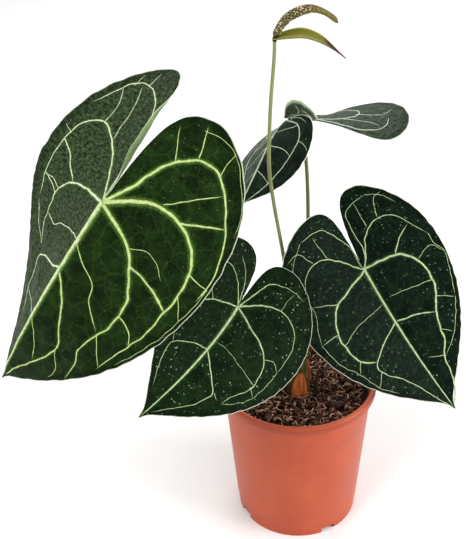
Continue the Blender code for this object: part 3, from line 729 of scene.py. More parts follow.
def blade_lift(key, flat, share, middle):
    """How far the upper face stands off its even surface: the skin bulges between the veins, and
    the margin waves a little."""
    length = LEAVES[key]["length"]
    bulge = {"large": 0.0013, "front": 0.0006, "right": 0.0008, "back": 0.0006}[key]
    quilt = bulge * (1 - np.exp(-(middle / 0.0065) ** 2))
    quilt *= 1 + 0.6 * ripple(flat, 0.020, 5)
    wave = 0.0010 * ripple(flat, 0.035, 9) * share ** 3
    small = 0.00016 * ripple(flat, 0.006, 3, 14)
    deep = {"large": 0.00026, "front": 0.00018, "right": 0.00020, "back": 0.00020}[key]
    crease = deep * ripple(flat * [0.4, 1.0], 0.0042, 4, 16) * ramp(middle, 0.0005, 0.003)
    return (quilt + wave) * (1 - 0.9 * share ** 8) * length / 0.12 + small + crease


def roll_margin(key, flat, side, places, normal):
    """Roll the inner margin of the large leaf's right lobe up: beyond a line beside the margin the
    skin follows a circle instead of running straight on, and its normal turns with it."""
    if key != "large":
        return places, normal
    leaf = LEAVES[key]
    length = leaf["length"]
    mine = np.nonzero((side > 0) & (flat[:, 0] < -0.03))[0]
    line = smooth_line(HEART[9:], 60)
    spots = flat[mine]
    gaps = line_gaps(spots, line)[1]
    nearest = np.diff(line, axis=0)[gaps.argmin(axis=1)]
    out = np.stack([nearest[:, 1], -nearest[:, 0]], axis=1)
    out /= np.linalg.norm(out, axis=1)[:, None]
    ease = ramp(-spots[:, 0], 0.03, 0.18) * ramp(spots[:, 0] + 0.40, 0.0, 0.12)
    over = np.maximum(ROLL_BAND * ease - gaps.min(axis=1) * length, 0.0)
    mine, spots, out, over = (part[over > 1e-6] for part in (mine, spots, out, over))
    ones = np.ones(len(mine))
    start = spots - out * (over / length)[:, None]
    foot = blade_surface(leaf, start[:, 0], start[:, 1], ones)
    ahead = blade_surface(leaf, *(start + out * 0.004).T, ones) - foot
    ahead /= np.linalg.norm(ahead, axis=1)[:, None]
    raised = blade_normal(leaf, start[:, 0], np.maximum(start[:, 1], 0.001), ones)
    angle = (over / ROLL_RADIUS)[:, None]
    places[mine] = foot + ROLL_RADIUS * (np.sin(angle) * ahead + (1 - np.cos(angle)) * raised)
    normal[mine] = np.cos(angle) * raised - np.sin(angle) * ahead
    return places, normal


def make_blade(key, upper, under, edge):
    """A blade: a fan of rings inside the heart outline, its upper and under faces and its rim."""
    leaf = LEAVES[key]
    length = leaf["length"]
    half = smooth_line(HEART, HALF_SPOKES)
    outline = np.vstack([half, (half * [1, -1])[::-1][1:-1]])
    scallop = 0.006 * (1 + ripple(outline, 0.10, 17)) * ramp(np.abs(outline[:, 1]), 0.01, 0.10)
    outline = outline - (outline - [FAN_CENTRE, 0.0]) * scallop[:, None]
    spokes = len(outline)
    share = np.linspace(0, 1, BLADE_RINGS + 1)[1:] ** 0.8
    centre = np.array([FAN_CENTRE, 0.0])
    flat = (centre + (outline[None] - centre) * share[:, None, None]).reshape(-1, 2)
    flat = np.vstack([flat, centre])
    side = np.where(np.arange(spokes) < HALF_SPOKES, 1.0, -1.0)
    side = np.append(np.tile(side, BLADE_RINGS), 1.0)
    rings = np.append(np.repeat(share, spokes), 0.0)
    places = blade_surface(leaf, flat[:, 0], flat[:, 1], side)
    normal = blade_normal(leaf, flat[:, 0], flat[:, 1], side)
    places, normal = roll_margin(key, flat, side, places, normal)
    metres = flat * length
    near, middle, glow = vein_fields(key, metres, side)
    lift = blade_lift(key, metres, rings, middle)
    thick = BLADE_THICKNESS * (0.95 - 0.40 * rings ** 4)
    top = places + normal * lift[:, None]
    bottom = places + normal * (lift - thick)[:, None]
    count = len(flat)
    last = (BLADE_RINGS - 1) * spokes
    upper_faces = [wrap(BLADE_RINGS, spokes)[:, ::-1], fan(0, spokes, count - 1)]
    under_faces = [part[:, ::-1] + count for part in upper_faces]
    step = np.arange(spokes)
    ahead = (step + 1) % spokes
    rim = np.stack([last + step, last + step + count, last + ahead + count, last + ahead], axis=-1)
    faces = upper_faces + under_faces + [rim]
    twice = lambda values: np.concatenate([values, values])
    marks = {"near": twice(near * 1000), "glow": twice(glow), "margin": twice(rings),
             "half": twice(side * 0.5 + 0.5)}
    uv = twice(metres * 10)
    return put_mesh(f"leaf_{key}_blade_face", np.vstack([top, bottom]), faces,
                    (upper, under, edge), (0, 0, 1, 1, 2), marks, uv)


def make_veins(key, mat):
    """The ribs of a leaf: each a flat strip that follows its vein, low above the blade and more
    raised below it, with its ends brought to a point."""
    leaf = LEAVES[key]
    length = leaf["length"]
    parts, flanks, halves = [], [], []
    turn = np.arange(VEIN_SIDES) / VEIN_SIDES * math.tau
    for flat, half, width in vein_lines(key):
        middle_rib = np.all(flat[:, 1] == 0)
        ends = np.minimum(1, np.minimum((len(flat) - 1 - np.arange(len(flat))) / 3, 1))
        width = width * np.maximum(ends, 0.06)
        spot = flat / length
        base = blade_surface(leaf, spot[:, 0], spot[:, 1], half)
        normal = blade_normal(leaf, spot[:, 0], spot[:, 1], half)
        lift = blade_lift(key, flat, ring_share(spot), vein_fields(key, flat, half)[1])
        ahead = np.gradient(base, axis=0)
        ahead /= np.linalg.norm(ahead, axis=1)[:, None]
        across = np.cross(ahead, normal)
        across /= np.linalg.norm(across, axis=1)[:, None]
        out = np.cos(turn)
        rise = np.where(np.sin(turn) > 0, 0.28 * np.sin(turn), np.sin(turn))
        depth = np.where(np.sin(turn) > 0, 0.0, -BLADE_THICKNESS * 0.8)
        ring = (base[:, None] + across[:, None] * (width[:, None] * out)[..., None]
                + normal[:, None] * (lift[:, None] + 0.00013 + width[:, None] * rise
                                     + depth)[..., None])
        count = len(flat) * VEIN_SIDES
        places = np.vstack([ring.reshape(-1, 3), base[:1] + normal[:1] * lift[0], base[-1:]])
        faces = [wrap(len(flat), VEIN_SIDES), fan(0, VEIN_SIDES, count, flip=True),
                 fan(count - VEIN_SIDES, VEIN_SIDES, count + 1)]
        parts.append((places, faces))
        flanks.append(np.concatenate([np.tile(np.abs(out), len(flat)), [0, 0]]))
        halves.append(np.full(count + 2, 0.5 if middle_rib else 0.5 + 0.5 * half[0]))
    places, faces = join(parts)
    marks = {"flank": np.concatenate(flanks), "half": np.concatenate(halves)}
    return put_mesh(f"leaf_{key}_veins", places, faces, (mat,), marks=marks)


def upper_paint(key, deep, mid, sheen_dark, sheen_light, share, glow, specks, shine, relief):
    """Upper face of a leaf: deep green with darker and lighter creases, a faint net, a glow along
    the thick veins, pale specks and a darker margin. The right half also gets a painted sheen:
    sheen_dark turned to sheen_light on its creases, laid over by share."""
    paint = Paint(f"leaf {key} upper", 0.42, Specular_IOR_Level=shine)
    uv = paint.where(uv=True)
    fine = paint.noise(uv, 70.0, 4.0, 0.65)
    crease = paint.noise(uv, 62.0, 5.0, 0.68, (1.0, 0.5, 1.0))
    soft = paint.noise(uv, 9.0, 4.0)
    base = paint.tint(deep, mid, soft, 0.32, 0.68)
    base = paint.tint(base, glow, crease, 0.52, 0.76, 0.0, 0.22)
    # Painted sheen: the right half's wrinkles are painted lighter where they would catch the light,
    # mixed in by the half mark times share.
    skin = paint.tint(sheen_dark, sheen_light, crease, 0.38, 0.72)
    base = paint.mix(paint.times(paint.mark("half"), share), base, skin)
    warped = paint.warp(uv, 30.0, 0.035)
    net = paint.cells(warped, 7.5, "DISTANCE_TO_EDGE")
    base = paint.tint(base, glow, net, 0.0, 0.06, 0.11, 0.0)
    ragged = paint.sum(paint.mark("glow"), paint.span(fine, 0.2, 0.8, -0.28, 0.28))
    base = paint.tint(base, glow, ragged, 0.15, 1.0, 0.0, 0.80)
    dots = paint.times(paint.span(paint.cells(uv, 40.0), 0.12, 0.24, 1.0, 0.0),
                       paint.span(paint.noise(uv, 22.0, 2.0), 0.54 - 0.1 * specks, 0.62))
    dots = paint.times(dots, paint.span(paint.mark("margin"), 0.3, 0.95, 0.45, 1.0))
    base = paint.mix(paint.times(dots, 0.9 * specks), base, srgb(150, 174, 144))
    base = paint.tint(base, tuple(0.5 * tone for tone in deep), paint.mark("margin"), 0.90, 0.985,
                      0.0, 0.45)
    base = paint.tint(base, srgb(222, 230, 204), paint.mark("margin"), 0.9915, 0.9985, 0.0, 0.9)
    paint.colour(base)
    paint.rough(paint.span(fine, 0.3, 0.7, 0.34, 0.52))
    pores = paint.span(paint.cells(uv, 34.0, "DISTANCE_TO_EDGE"), 0.0, 0.25)
    height = paint.sum(paint.times(pores, 0.4), paint.times(crease, 1.4))
    paint.bump(paint.sum(height, paint.times(fine, 0.4)), relief, 0.0010)
    return paint.mat


def under_paint(key, low, high):
    """Under face of a leaf: grey green, paler along the veins."""
    paint = Paint(f"leaf {key} under", 0.5, Specular_IOR_Level=0.15)
    uv = paint.where(uv=True)
    base = paint.tint(low, high, paint.noise(uv, 14.0, 4.0), 0.3, 0.7)
    base = paint.mix(paint.times(paint.mark("glow"), 0.8), base, srgb(160, 178, 130))
    base = paint.tint(base, srgb(176, 186, 158), paint.mark("margin"), 0.93, 0.985)
    paint.colour(base)
    net = paint.span(paint.cells(uv, 34.0, "DISTANCE_TO_EDGE"), 0.0, 0.2)
    paint.bump(net, 0.3, 0.0005)
    return paint.mat


def vein_paint(key, core, flank, right_half_core):
    """A rib: pale in the middle, greener at its sides, uneven along its way. The ribs of the right
    half carry that half's painted light and shade: a paler core on the large and back leaves, a
    darker one on the front and right leaves."""
    paint = Paint(f"leaf {key} veins", 0.45, Specular_IOR_Level=0.3)
    where = paint.where()
    uneven = paint.noise(where, 420.0, 3.0)
    core = paint.mix(paint.mark("half"), core, right_half_core)
    base = paint.tint(core, flank, uneven, 0.35, 0.7, 0.0, 0.35)
    sides = paint.sum(paint.mark("flank"), paint.span(uneven, 0.3, 0.7, -0.25, 0.25))
    base = paint.tint(base, flank, sides, 0.45, 1.05, 0.0, 0.9)
    paint.colour(base)
    return paint.mat


def edge_paint():
    """The thin rim of every leaf: pale green, nearly white."""
    paint = Paint("leaf rim", 0.5, Specular_IOR_Level=0.3)
    tone = paint.noise(paint.where(), 160.0, 3.0)
    paint.colour(paint.tint(srgb(236, 240, 222), srgb(206, 218, 180), tone, 0.35, 0.7))
    return paint.mat


def make_leaves():
    """All four leaves with their veins."""
    # sheen_dark, sheen_light and share set the painted sheen on each leaf's right half.
    looks = {
        "large": dict(deep=srgb(8, 24, 3), mid=srgb(22, 43, 11), sheen_dark=srgb(20, 34, 16),
                      sheen_light=srgb(86, 104, 70), share=0.85, glow=srgb(74, 108, 40), specks=0.25,
                      shine=0.04, relief=0.8),
        "front": dict(deep=srgb(4, 17, 4), mid=srgb(13, 32, 9), sheen_dark=srgb(4, 16, 3),
                      sheen_light=srgb(30, 48, 24), share=0.4, glow=srgb(50, 78, 36), specks=1.0,
                      shine=0.04, relief=0.45),
        "right": dict(deep=srgb(4, 15, 8), mid=srgb(12, 28, 17), sheen_dark=srgb(4, 14, 7),
                      sheen_light=srgb(30, 44, 32), share=0.4, glow=srgb(54, 82, 46), specks=0.8,
                      shine=0.04, relief=0.45),
        "back": dict(deep=srgb(9, 19, 12), mid=srgb(22, 36, 26), sheen_dark=srgb(36, 50, 38),
                     sheen_light=srgb(80, 98, 76), share=0.85, glow=srgb(66, 86, 60), specks=0.5,
                     shine=0.05, relief=0.45),
    }
    # The third tone of each leaf is the core of its right half's ribs, with that half's painted
    # light and shade in it.
    ribs = {
        "large": (srgb(186, 202, 132), srgb(112, 144, 66), srgb(220, 228, 194)),
        "front": (srgb(176, 194, 146), srgb(102, 130, 78), srgb(166, 186, 136)),
        "right": (srgb(190, 206, 158), srgb(114, 142, 88), srgb(176, 194, 146)),
        "back": (srgb(206, 216, 188), srgb(142, 162, 126), srgb(226, 232, 210)),
    }
    # The back leaf's under face is a darker copy of the plain one: painted shade.
    shaded_unders = {"back": (srgb(42, 54, 42), srgb(66, 82, 62))}
    plain = (srgb(98, 122, 78), srgb(124, 146, 98))
    edge = edge_paint()
    for key, look in looks.items():
        under = under_paint(key, *shaded_unders.get(key, plain))
        blade = make_blade(key, upper_paint(key, **look), under, edge)
        show(blade, "leaf_blade", f"leaf_{key}_blade")
        show(make_veins(key, vein_paint(key, *ribs[key])), "leaf_blade")


# --- stalks -------------------------------------------------------------------------------------
def seat(bearing):
    """Centre of a stalk's foot on the crown's flat top."""
    return SEAT_RING * outward(bearing) + [0.0, 0.0, MIX_TOP + CROWN_HEIGHT + 2 * CLEAR]


def underside_normal(leaf):
    """Direction out of the upper face just in front of the stalk, midway between the halves."""
    spots = blade_surface(leaf, *np.array([[0.0, 0.06, 0.03, 0.03], [0.0, 0.0, 0.05, -0.05],
                                           [1.0, 1.0, 1.0, -1.0]]))
    normal = np.cross(spots[2] - spots[3], spots[1] - spots[0])
    return normal / np.linalg.norm(normal)


def stalk_paint(name, lower, upper, blush):
    """A stalk: its lower colour turns to its upper one with height, under fine streaks."""
    paint = Paint(name, 0.42, Specular_IOR_Level=0.4)
    where = paint.where()
    streaks = paint.noise(where, 300.0, 4.0, 0.6, (1.0, 1.0, 0.08))
    patches = paint.noise(where, 45.0, 3.0)
    base = paint.mix(paint.mark("rise"), lower, upper)
    base = paint.tint(base, blush, patches, 0.45, 0.75, 0.0, 0.5)
    base = paint.tint(base, tuple(0.45 * c for c in lower), streaks, 0.45, 0.8, 0.0, 0.4)
    paint.colour(base)
    paint.bump(streaks, 0.25, 0.0003)
    return paint.mat


def make_stalk(name, line, radius, mat, nodes):
    """A round stalk of the given radius at each point, with faint lengthwise grooves."""
    turn = np.arange(STALK_SIDES) / STALK_SIDES * math.tau
    grooves = 1 + 0.03 * np.cos(5 * turn) + 0.02 * np.cos(9 * turn + 1)
    places, faces = tube_mesh(line, np.asarray(radius)[:, None] * grooves, STALK_SIDES)
    rise = np.linspace(0, 1, len(line))
    marks = {"rise": np.concatenate([np.repeat(rise, STALK_SIDES), [0, 1]])}
    return show(put_mesh(name, places, faces, (mat,), marks=marks), "stalk", *nodes)


def make_petioles():
    """A leaf stalk: a cubic from its seat to the blade, thicker at its foot and at the joint below
    the blade, where it flares to meet the ribs."""
    mat = stalk_paint("leaf stalk", srgb(84, 90, 38), srgb(112, 124, 66), srgb(98, 84, 46))
    for key, stalk in STALKS.items():
        leaf = LEAVES[key]
        foot = seat(stalk["bearing"])
        start = foot + [0.0, 0.0, 2 * PETIOLE_RADIUS]
        face = underside_normal(leaf)
        end = leaf_place(leaf) - face * (BLADE_THICKNESS + STALK_GAP)
        leave = np.array([0.0, 0.0, stalk["leave"]])
        meet = face * stalk["meet"] - np.array([stalk.get("sway", 0.0), 0.0, 0.0])
        t = np.linspace(0.0, 1.0, PETIOLE_POINTS)[:, None]
        line = ((2 * t ** 3 - 3 * t ** 2 + 1) * start + (t ** 3 - 2 * t ** 2 + t) * leave
                + (3 * t ** 2 - 2 * t ** 3) * end + (t ** 3 - t ** 2) * meet)
        neck = [end + face * (STALK_GAP * step) for step in (0.25, 0.5, 0.75, 1.0)]
        line = np.vstack([foot - [0, 0, 0.0020], foot, line, neck])
        share = np.linspace(0, 1, len(line))
        swell = (1 + 0.30 * np.exp(-(share / 0.05) ** 2)
                 + 0.32 * np.exp(-((share - 0.965) / 0.03) ** 2))
        radius = PETIOLE_RADIUS * 0.86 * swell * (1 - 0.12 * np.sin(math.pi * share))
        radius[-4:] = PETIOLE_RADIUS * np.array([1.05, 1.15, 1.3, 1.5])
        make_stalk(f"leaf_{key}_stalk", line, radius, mat, [f"leaf_{key}_petiole"])


def peduncle_line(count):
    """The flower stalk's path from its seat to just below the spathe."""
    top = np.array([0.0, 0.0, MIX_TOP])
    foot = seat(PEDUNCLE_BEARING)
    way = [foot, foot + [0.0, 0.0, 0.012]] + [top + np.array(point) for point in PEDUNCLE_WAY]
    return smooth_line(way, count)


# --- flower -------------------------------------------------------------------------------------
def make_flower():
    """The flower: its stalk, the spathe and the spike."""
    line = peduncle_line(PEDUNCLE_POINTS)
    share = np.linspace(0, 1, PEDUNCLE_POINTS)
    radius = PEDUNCLE_RADIUS * (1.12 - 0.22 * share + 0.35 * np.exp(-(share / 0.03) ** 2))
    mat = stalk_paint("flower stalk", srgb(100, 106, 54), srgb(126, 134, 84), srgb(140, 140, 98))
    top = line[-1:] + [0.0, 0.0, PEDUNCLE_RADIUS + 0.0012]
    make_stalk("flower_stalk", np.vstack([line[:1] - [0, 0, 0.002], line, top]),
               np.concatenate([radius[:1], radius, radius[-1:]]), mat, ["peduncle"])
    head = line[-1] + np.array([0.0, 0.0, PEDUNCLE_RADIUS])
    make_spathe(head)
    make_spadix(head)


def make_spathe(head):
    """The spathe: a long pointed leaf. Its half width is a sine of the length, its keel drops
    towards the tip, and its sides cup upwards."""
    along, across = sheet_grid(*SPATHE_GRID, 1)
    half_width = SPATHE_WIDTH / 2 * (0.14 + 0.86 * np.sin(math.pi * along ** 0.8) ** 0.85)
    half_width = half_width * np.where(along > 0.7, 1 - 0.88 * (along - 0.7) / 0.3, 1.0)
    drop = -0.013 * np.maximum(0, along - 0.35) ** 1.7 / 0.65 ** 1.7
    x = SPATHE_LENGTH * along * 0.95 - 0.0015
    y = half_width * across
    cup = (0.0026 * across ** 2 + 0.0013 * across) * half_width / SPATHE_WIDTH * 2
    z = drop + 0.0016 * np.sin(math.pi * along) + cup
    z = z + 0.00015 * np.cos(across * 9.5) * (1 - along)
    base = head + np.array([0.0, 0.0, 2 * CLEAR + BLADE_THICKNESS])
    top = base + np.stack([x, y, z], axis=1)
    thin = BLADE_THICKNESS * (0.9 - 0.45 * np.abs(across) ** 3)
    bottom = top - np.array([0, 0, 1.0]) * thin[:, None]
    bottom[:, 2] -= 0.0006 * np.exp(-(across / 0.12) ** 2) * (1 - along)
    faces = sheet_faces(*SPATHE_GRID)
    marks = {"along": np.tile(along, 2), "across": np.tile(np.abs(across), 2)}
    paint = Paint("spathe", 0.42, Specular_IOR_Level=0.4)
    where = paint.where()
    lines = paint.noise(where, 260.0, 3.0, 0.6, (0.10, 1.0, 1.0))
    base_tone = paint.mix(paint.mark("along"), srgb(116, 116, 14), srgb(98, 92, 8))
    base_tone = paint.tint(base_tone, srgb(82, 84, 14), lines, 0.45, 0.75, 0.0, 0.5)
    base_tone = paint.tint(base_tone, srgb(214, 212, 150), paint.mark("across"), 0.86, 0.98, 0.0,
                           0.8)
    base_tone = paint.tint(base_tone, srgb(58, 26, 8),
                           paint.sum(paint.mark("along"), paint.span(lines, 0.3, 0.7, -0.03, 0.03)),
                           0.66, 0.80)
    paint.colour(base_tone)
    paint.bump(lines, 0.3, 0.0003)
    under_coat = Paint("spathe under", 0.45, Specular_IOR_Level=0.4)
    where = under_coat.where()
    lines = under_coat.noise(where, 260.0, 3.0, 0.6, (0.10, 1.0, 1.0))
    tone = under_coat.tint(srgb(150, 140, 44), srgb(116, 110, 20), lines, 0.35, 0.7)
    tone = under_coat.tint(tone, srgb(74, 34, 12), under_coat.mark("along"), 0.66, 0.80)
    under_coat.colour(tone)
    show(put_mesh("spathe_leaf", np.vstack([top, bottom]), faces, (paint.mat, under_coat.mat),
                  (0, 1, 1), marks), "spathe", "spathe")


def make_spadix(head):
    """The spike: a tube whose radius swells in a lattice of small flowers, the product of two
    slanted cosines, which dies out towards its tip."""
    rows, around = SPADIX_GRID
    foot = head + np.array([0.0010, 0.0, 0.0047])
    line = smooth_line([foot + np.array(point) for point in SPADIX_WAY], rows)
    share = np.linspace(0.0, 1.0, rows)
    taper = 0.80 + 0.35 * np.sin(math.pi * np.minimum(share * 1.3, 1.0)) - 0.12 * share
    taper = taper * np.sqrt(np.clip((1.0 - share) / 0.09, 0.003, 1.0))
    turn = np.arange(around) / around * math.tau
    run = share[:, None] * 32 * math.pi
    lattice = np.abs(np.sin(run / 2 + 4 * turn) * np.sin(run / 2 - 4 * turn)) ** 0.6
    fade = 1 - 0.75 * ramp(share, 0.5, 0.68)[:, None]
    radius = SPADIX_RADIUS * taper[:, None] * (0.86 + 0.20 * lattice * fade + 0.03 * (1 - fade))
    stub = np.vstack([head, head + (line[0] - head) * 0.5, line])
    radius = np.vstack([np.full((2, around), SPADIX_RADIUS * 0.52), radius])
    places, faces = tube_mesh(stub, radius, around)
    pad = lambda values: np.concatenate([np.zeros(2 * around), values.ravel(), [0, 0]])
    marks = {"knob": pad(lattice * fade), "along": pad(np.repeat(share, around))}
    paint = Paint("spike", 0.55, Specular_IOR_Level=0.35)
    where = paint.where()
    grain = paint.noise(where, 900.0, 3.0)
    outer = paint.tint(srgb(92, 84, 34), srgb(120, 108, 48), grain, 0.35, 0.7)
    # Painted shade: where the knob mark is low, in the grooves between the little flowers, the
    # spike is painted near black.
    knobs_and_groove_shade = paint.tint(srgb(30, 22, 14), srgb(112, 104, 46), paint.mark("knob"), 0.25, 0.8)
    tone = paint.tint(knobs_and_groove_shade, outer, paint.sum(paint.mark("along"),
                                              paint.span(grain, 0.3, 0.7, -0.04, 0.04)), 0.5, 0.68)
    paint.colour(tone)
    paint.bump(grain, 0.35, 0.0003)
    show(put_mesh("flower_spike", places, faces, (paint.mat,), marks=marks), "spadix", "spadix")

    random = np.random.default_rng(21)
    count = POLLEN_COUNT
    at = random.uniform(0.03, 0.62, count) ** 1.05
    angle = random.uniform(0, math.tau, count)
    _, side, normal = frames_along(line)
    row = (at * (rows - 1)).astype(int)
    reach = SPADIX_RADIUS * taper[row] * 1.02
    spots = line[row] + reach[:, None] * (np.cos(angle)[:, None] * side[row]
                                          + np.sin(angle)[:, None] * normal[row])
    grain_shape, grain_faces = ball(6, 4)
    sizes = np.repeat(random.uniform(0.00022, 0.00048, count)[:, None], 3, axis=1)
    places, faces = copies(grain_shape, grain_faces, spots, random_turns(random, count, 1.5), sizes)
    pollen = Paint("pollen", 0.7)
    tone = pollen.noise(pollen.where(), 500.0, 2.0)
    pollen.colour(pollen.tint(srgb(232, 224, 198), srgb(206, 170, 140), tone, 0.4, 0.6))
    show(put_mesh("pollen_grains", places, faces, (pollen.mat,)), "spadix")


def ball(around, rows):
    """A rough little ball of radius 1: rows of rings between two poles."""
    rise = np.linspace(0, math.pi, rows + 1)[1:-1]
    turn = np.arange(around) / around * math.tau
    rings = np.stack([np.outer(np.sin(rise), np.cos(turn)), np.outer(np.sin(rise), np.sin(turn)),
                      np.outer(-np.cos(rise), np.ones(around))], axis=-1).reshape(-1, 3)
    count = len(rings)
    places = np.vstack([rings, [[0, 0, -1]], [[0, 0, 1]]])
    return places, [wrap(rows - 1, around), fan(0, around, count, flip=True),
                    fan(count - around, around, count + 1)]


# --- pot ----------------------------------------------------------------------------------------
def rounded(points, radius, steps=5):
    """A profile with each inner corner replaced by a short curve that starts radius before it."""
    points = np.asarray(points, float)
    out = [points[:1]]
    for before, here, after in zip(points[:-2], points[1:-1], points[2:]):
        back, on = before - here, after - here
        cut = min(radius, 0.45 * np.linalg.norm(back), 0.45 * np.linalg.norm(on))
        a = here + back / np.linalg.norm(back) * cut
        b = here + on / np.linalg.norm(on) * cut
        t = np.linspace(0, 1, steps)[:, None]
        out.append((1 - t) ** 2 * a + 2 * t * (1 - t) * here + t ** 2 * b)
    out.append(points[-1:])
    return np.vstack(out)


def pot_paint():
    """Terracotta coloured plastic: faint clouds, pale scuffs, fine moulding lines, and painted
    shade bands at the rim.
    """
    paint = Paint("terracotta plastic", 0.40, Specular_IOR_Level=0.22)
    where = paint.where()
    clouds = paint.noise(where, 30.0, 4.0)
    lines = paint.noise(where, 180.0, 3.0, 0.6, (0.1, 0.1, 1.0))
    grain = paint.noise(where, 900.0, 2.0)
    base = paint.tint(srgb(170, 72, 44), srgb(182, 82, 51), clouds, 0.3, 0.7)
    base = paint.tint(base, srgb(152, 62, 36), lines, 0.5, 0.8, 0.0, 0.25)
    base = paint.tint(base, srgb(204, 118, 86), grain, 0.62, 0.8, 0.0, 0.25)
    rise = paint.put("ShaderNodeSeparateXYZ", {0: where}).outputs[2]
    # Painted shade: a dark band just under the rim band stands in for its shadow, the rim band's
    # outer face is painted a little darker, and a thin painted shade line runs under the lip.
    for low, high, deep in ((POT_HEIGHT - RIM_BAND - 0.0030, POT_HEIGHT - RIM_BAND, 0.75),
                            (POT_HEIGHT - RIM_BAND, POT_HEIGHT - 0.0012, 0.30),
                            (POT_HEIGHT - 0.0034, POT_HEIGHT - 0.0028, 0.45)):
        band = paint.times(paint.span(rise, low - 0.0003, low + 0.0003),
                           paint.span(rise, high - 0.0003, high + 0.0003, deep, 0.0))
        base = paint.mix(band, base, srgb(112, 40, 24))
    paint.colour(base)
    paint.rough(paint.span(clouds, 0.3, 0.7, 0.34, 0.46))
    paint.bump(grain, 0.12, 0.0002)
    return paint.mat


def make_pot():
    """The pot: its half section turned about the axis, then the notches and drain holes cut out."""
    floor = DRAIN_RISE + POT_WALL
    step = POT_PAD_RADIUS + POT_WALL
    top = POT_HEIGHT
    band = top - RIM_BAND
    inner_top = WALL_TOP_RADIUS - POT_WALL
    inner_foot = POT_FOOT_RADIUS - POT_WALL
    under = WALL_TOP_RADIUS + 0.0002
    profile = [(0.0, POT_WALL), (POT_PAD_RADIUS - POT_WALL, POT_WALL), (POT_PAD_RADIUS, floor),
               (inner_foot + 0.0006, floor), (inner_top, band - 0.001),
               (inner_top + 0.0012, band + 0.001), (inner_top + 0.0014, top - 0.0010),
               (inner_top + 0.0026, top), (POT_RIM_RADIUS - 0.0011, top),
               (POT_RIM_RADIUS, top - 0.0012), (POT_RIM_RADIUS - 0.0004, band),
               (POT_RIM_RADIUS - 0.0004 - POT_WALL, band),
               (POT_RIM_RADIUS - POT_WALL, top - 0.0010 - POT_WALL),
               (under + 0.0016, top - 0.0010 - POT_WALL), (under, band - 0.0016),
               (POT_FOOT_RADIUS + 0.0012, 0.0118), (POT_FOOT_RADIUS + 0.0004, 0.0108),
               (POT_FOOT_RADIUS, 0.0), (inner_foot, 0.0), (inner_foot, DRAIN_RISE),
               (step, DRAIN_RISE), (step - POT_WALL, 0.0), (0.0, 0.0)]
    profile = rounded(profile, 0.0006)[::-1]
    mat = pot_paint()
    places, faces = revolve(profile, POT_STEPS)
    pot = put_mesh("nursery_pot", places, faces, (mat,), sharp=35)
    cutters = []
    hole_place = (POT_PAD_RADIUS + POT_FOOT_RADIUS) / 2
    for angle in NOTCH_ANGLES:
        out, along = outward(angle), outward(angle + 90.0)
        corner = np.array([[i, j, k] for i in (-1, 1) for j in (-1, 1) for k in (-1, 1)], float)
        box = (out * (POT_FOOT_RADIUS - 0.0005) + corner[:, :1] * along * NOTCH_WIDTH / 2
               + corner[:, 1:2] * out * 0.004 + corner[:, 2:] * [0, 0, DRAIN_RISE - 0.0003])
        sides = np.array([[2, 3, 1, 0], [5, 7, 6, 4], [1, 5, 4, 0], [6, 7, 3, 2], [4, 6, 2, 0],
                          [3, 7, 5, 1]])
        cutters.append((box, [sides]))
        spin = np.arange(HOLE_STEPS) / HOLE_STEPS * math.tau
        ring = out * hole_place + DRAIN_HOLE_RADIUS * np.stack(
            [np.cos(spin), np.sin(spin), np.zeros(HOLE_STEPS)], axis=1)
        middle = out * hole_place
        low, high = np.array([0, 0, DRAIN_RISE - 0.002]), np.array([0, 0, DRAIN_RISE + 0.004])
        drum = np.vstack([ring + low, ring + high, [middle + low], [middle + high]])
        cutters.append((drum, [wrap(2, HOLE_STEPS), fan(0, HOLE_STEPS, 2 * HOLE_STEPS, flip=True),
                                fan(HOLE_STEPS, HOLE_STEPS, 2 * HOLE_STEPS + 1)]))
    tool_places, tool_faces = join(cutters)
    tool = put_mesh("pot cutter", tool_places, tool_faces, ())
    cut = pot.modifiers.new("holes", "BOOLEAN")
    cut.operation, cut.solver, cut.object = "DIFFERENCE", "EXACT", tool
    seen = pot.evaluated_get(bpy.context.evaluated_depsgraph_get())
    solid = bpy.data.meshes.new_from_object(seen)
    pot.modifiers.remove(cut)
    pot.data = solid
    bpy.data.objects.remove(tool)
    solid.set_sharp_from_angle(angle=math.radians(35))
    show(pot, "pot_plastic", "pot")


# --- potting mix --------------------------------------------------------------------------------
def mix_height(radius):
    """Height of the mix's top: a low heap that is flat under the crown."""
    reach = np.maximum(0.0, radius - CROWN_RADIUS) / (MIX_RADIUS - CROWN_RADIUS)
    return MIX_TOP - MIX_CROWN * np.minimum(1.0, reach) ** 1.5


def mix_paint(name, dark, light, fleck):
    """Moist mix: dark crumbs with lighter ones and a few pale flecks."""
    paint = Paint(name, 0.85, Specular_IOR_Level=0.25)
    where = paint.where()
    crumbs = paint.noise(where, 330.0, 4.0, 0.7)
    patches = paint.noise(where, 90.0, 3.0)
    base = paint.tint(dark, light, crumbs, 0.35, 0.68)
    base = paint.tint(base, fleck, patches, 0.55, 0.75, 0.0, 0.7)
    paint.colour(base)
    paint.bump(crumbs, 0.8, 0.0012)
    return paint.mat


